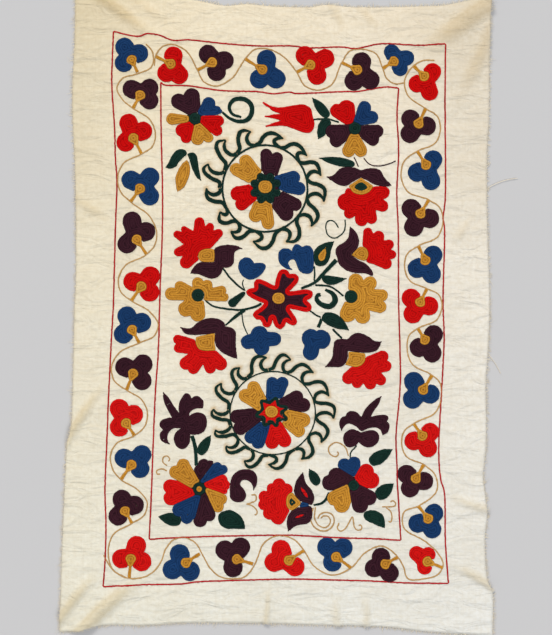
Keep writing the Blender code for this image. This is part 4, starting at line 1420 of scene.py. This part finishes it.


# what the cotton's colour is multiplied by, painted light and shade among it
def clothTint(x, y, covered):
    tint = np.ones((len(x), 4))
    # painted light: cooler towards the right end, warmer towards the upper end
    gradient = (np.array(tone["middle"]) + np.outer(x / tone["halfWide"], tone["right"])
                + np.outer(y / tone["halfHigh"], tone["up"]))
    near = np.full(len(x), 1e9)
    for path in halos:
        fine = smoothLine(path, False, 1.5)
        low, high = fine.min(axis=0) - dye["farthest"], fine.max(axis=0) + dye["farthest"]
        box = (x > low[0]) & (x < high[0]) & (y > low[1]) & (y < high[1])
        away = np.hypot(x[box, None] - fine[:, 0], y[box, None] - fine[:, 1]).min(axis=1)
        near[box] = np.minimum(near[box], away)
    share = np.clip(1 - (near - dye["start"]) / dye["reach"], 0, 1)[:, None] ** dye["fade"]
    # painted shade on the folds: warmer and darker the higher a fold stands, up to foldTop
    folded = np.sqrt(sum(foldHeight(fold, x, y) ** 2 for fold in folds))
    foldShade = np.clip(folded / tone["foldTop"], 0, 1)[:, None] * (np.array(tone["fold"]) - 1)
    # painted shade: the cotton is darkened in the upper corners
    cornerShade = (np.interp(np.abs(x), tone["cornerX"], (0, 1))
                * np.interp(y, tone["cornerY"], (0, 1)))[:, None]
    gradient *= 1 + cornerShade * (np.array(tone["corner"]) - 1)
    run = (np.array(dye["halo"]) - 1) * share * dye["most"]
    tint[:, :3] = gradient * (1 + foldShade) * (1 + run)
    for shape, x0, y0, depth in covered:
        i = np.round((x - x0) / filling["grid"]).astype(int)
        j = np.round((y - y0) / filling["grid"]).astype(int)
        within = (i >= 0) & (j >= 0) & (i < depth.shape[1]) & (j < depth.shape[0])
        deep = np.zeros(len(x))
        deep[within] = depth[j[within], i[within]]
        # the cotton under the stitching takes the thread's colour, in its dark version as painted
        # shade between the rows
        tint[deep > darkUnder, :3] = threads[shape["colour"]]["dark"]
    return tint


# the raw edges: cut ends of warp and weft that stand out of the weave, in millimetres
fray = dict(spacing=0.85, jitter=0.12, shortest=1.0, longest=5.0, rooted=0.9, thick=0.5,
            lean=0.34, strayLean=0.75, bend=0.6, strayShare=0.07, strayLongest=9.0, droop=0.55,
            taper=(1.0, 0.85, 0.4), sides=3)
# two threads pulled out of the right edge: height of the start, halfway point, end
looseThreads = dict(
    upper=dict(startY=155.0, middle=(271.0, 163.4), end=(290.0, 167.2)),
    lower=dict(startY=-44.0, middle=(263.6, -56.0), end=(269.6, -67.6)),
)
looseThread = dict(thick=0.7, clearance=0.2, twist=2.6, sway=0.45, ply=0.55, rings=90, sides=6)


def looseCottonMaterial():
    material, tree, shader = makeMaterial("loose_cotton", 0.85, 0.15, 0.15)
    place = node(tree, "ShaderNodeTexCoord").outputs["Object"]
    share = ramp(tree, noise(tree, place, 900.0, 2.0), 0.3, 0.7)
    colour = mixColour(tree, "MIX", share, (*cotton["pale"], 1), (*cotton["warm"], 1))
    tree.links.new(colour, shader.inputs["Base Color"])
    return material


# the quads of a tube whose rings follow each other
def tubeFaces(first, ringCount, sides):
    ring, side = np.meshgrid(np.arange(ringCount - 1), np.arange(sides), indexing="ij")
    here = first + ring.ravel() * sides
    side, after = side.ravel(), (side.ravel() + 1) % sides
    return np.column_stack([here + side, here + after, here + sides + after, here + sides + side])


# cut thread ends along the four raw edges
def makeFray():
    around = []
    for u, v in ((np.linspace(0, 1, 900), np.zeros(900)), (np.ones(1200), np.linspace(0, 1, 1200)),
                 (np.linspace(1, 0, 900), np.ones(900)), (np.zeros(1200), np.linspace(1, 0, 1200))):
        around.append(np.column_stack(sheetPoints(u, v))[:-1])
    around = np.vstack(around)
    path = evenly(around, int(lengthOf(around, True) / fray["spacing"]), True)
    path = path + rng.normal(0, fray["jitter"], path.shape)
    outward = -leftwards(evenly(path, len(path), True), True)
    points, quads, sides = [], [], fray["sides"]
    along = np.array([0.0, 0.5, 1.0])
    radius = fray["thick"] / 2 * np.array(fray["taper"])
    for place, out in zip(path, outward):
        stray = rng.random() < fray["strayShare"]
        length = rng.uniform(fray["shortest"], fray["strayLongest"] if stray else fray["longest"])
        turn = rng.normal(0, fray["strayLean"] if stray else fray["lean"])
        way = math.atan2(out[1], out[0]) + turn + rng.normal(0, fray["bend"]) * along
        root = place - out * fray["rooted"]
        height = float(clothHeight(*root)) + cloth["thick"] * rng.uniform(0.3, 0.9)
        reach = (length + fray["rooted"]) * along
        x = root[0] + reach * np.cos(way)
        y = root[1] + reach * np.sin(way)
        z = height * (1 - fray["droop"] * along) + rng.uniform(0, 0.25) * along
        z = np.maximum(z, fray["thick"] / 2)
        for k in range(len(along)):
            for side in range(sides):
                angle = 2 * math.pi * side / sides + 0.5
                points.append((x[k] - math.sin(way[k]) * radius[k] * math.cos(angle),
                               y[k] + math.cos(way[k]) * radius[k] * math.cos(angle),
                               max(z[k] + radius[k] * math.sin(angle), 0.01)))
        quads.append(tubeFaces(len(points) - len(along) * sides, len(along), sides))
    print("fray:", len(path), "thread ends")
    return meshFromArrays("raw_edge_fray", points, np.vstack(quads))


# two plies twisted round each other along a thread's route
def makeLooseThread(name):
    route, count, sides = looseThreads[name], looseThread["rings"], looseThread["sides"]
    half = looseThread["thick"] / 2
    edge = float(smoothBetween(cloth["right"], np.array(route["startY"]), 1))
    start = (edge + looseThread["clearance"] + half, route["startY"])
    t = np.linspace(0, 1, count)[:, None]
    path = ((1 - t) * (1 - 2 * t) * np.array(start) + 4 * t * (1 - t) * np.array(route["middle"])
            + t * (2 * t - 1) * np.array(route["end"]))
    path = evenly(path, count - 1, False)
    aside = leftwards(path, False)
    turn = np.linspace(0, lengthOf(path) / looseThread["twist"] * 2 * math.pi, count)
    taper = np.interp(np.linspace(0, 1, count), [0, 0.9, 1], [1, 1, 0.5])
    radius = half * looseThread["ply"] * taper
    points, quads = [], []
    for ply in (0, math.pi):
        sway = half * looseThread["sway"] * np.cos(turn + ply)
        lift = half * looseThread["sway"] * np.sin(turn + ply)
        centre = path + aside * sway[:, None]
        first = len(points)
        for k in range(count):
            for side in range(sides):
                angle = 2 * math.pi * side / sides
                flat = centre[k] + aside[k] * radius[k] * math.cos(angle)
                points.append((*flat, half + lift[k] + radius[k] * math.sin(angle)))
        quads.append(tubeFaces(first, count, sides))
    return meshFromArrays("pulled_thread_" + name, points, np.vstack(quads))


# the studio: lamps shine from their place to the middle, spread in degrees
lampColumns = ("name", "place", "spread", "power", "colour")
studio = dict(
    floor=(0.50, 0.50, 0.51), floorReach=6.0, floorDrop=0.0004,
    world=(1.0, 0.985, 0.96), worldPower=0.50,
    lamps=[("key", (-1.7, 3.6, 2.1), 16, 2.45, (1.0, 0.97, 0.93)),
           ("fill", (2.6, -2.6, 3.4), 36, 1.7, (0.93, 0.96, 1.0))],
    lens=50.0, sensor=36.0, imageHigh=635,      # the picture is that many chart squares high
)


def lightAndCamera():
    bpy.context.scene.view_settings.view_transform = "Standard"
    reach = studio["floorReach"]
    corners = [(-reach, -reach, 0), (reach, -reach, 0), (reach, reach, 0), (-reach, reach, 0)]
    floorData = bpy.data.meshes.new("floor")
    floorData.from_pydata(corners, [], [(0, 1, 2, 3)])
    floor = placed("floor", floorData)
    floor.location.z = -studio["floorDrop"]
    material, tree, shader = makeMaterial("floor", 0.9)
    shader.inputs["Base Color"].default_value = (*studio["floor"], 1)
    floorData.materials.append(material)
    world = bpy.data.worlds.new("studio")
    world.use_nodes = True
    background = world.node_tree.nodes["Background"]
    background.inputs[0].default_value = (*studio["world"], 1)
    background.inputs[1].default_value = studio["worldPower"]
    bpy.context.scene.world = world
    for row in studio["lamps"]:
        lamp = dict(zip(lampColumns, row))
        light = bpy.data.lights.new(lamp["name"], "SUN")
        light.angle = math.radians(lamp["spread"])
        light.energy = lamp["power"]
        light.color = lamp["colour"]
        holder = placed(lamp["name"], light)
        holder.location = lamp["place"]
        holder.rotation_euler = (-holder.location).to_track_quat("-Z", "Y").to_euler()
    camera = bpy.data.cameras.new("camera")
    camera.lens = studio["lens"]
    camera.sensor_width = studio["sensor"]
    eye = placed("camera", camera)
    seen = studio["imageHigh"] * chart["square"] * mm
    eye.location = (0, 0, seen * studio["lens"] / studio["sensor"] + cloth["thick"] * mm)
    bpy.context.scene.camera = eye


lightAndCamera()
workFrames()
workVine()
workTrefoils()
for hookedRing in hookedRings:
    workHookedRing(hookedRing)
workRingFlowers()
workLeafGroup()
workUpperField()
workMiddleField()
workLowerField()
workFootOfField()
print("pattern drawn:", len(fills), "shapes")
coveredShapes = workFills()
print("rows worked")



def dress(piece, material):
    piece.data.materials.append(material)
    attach(piece, "root")


groundCloth = makeCloth(coveredShapes)
dress(groundCloth, cottonMaterial())
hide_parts("ground_cloth")
print("cloth laid")

plainCotton = looseCottonMaterial()
dress(makeFray(), plainCotton)
for looseName in looseThreads:
    pulledThread = makeLooseThread(looseName)
    dress(pulledThread, plainCotton)
    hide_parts("loose_thread_" + looseName)
print("raw edges frayed")

for colour in rows:
    dress(makeRowsPiece(colour, "stitches_" + colour), threadMaterial(colour))
print("stitches made")
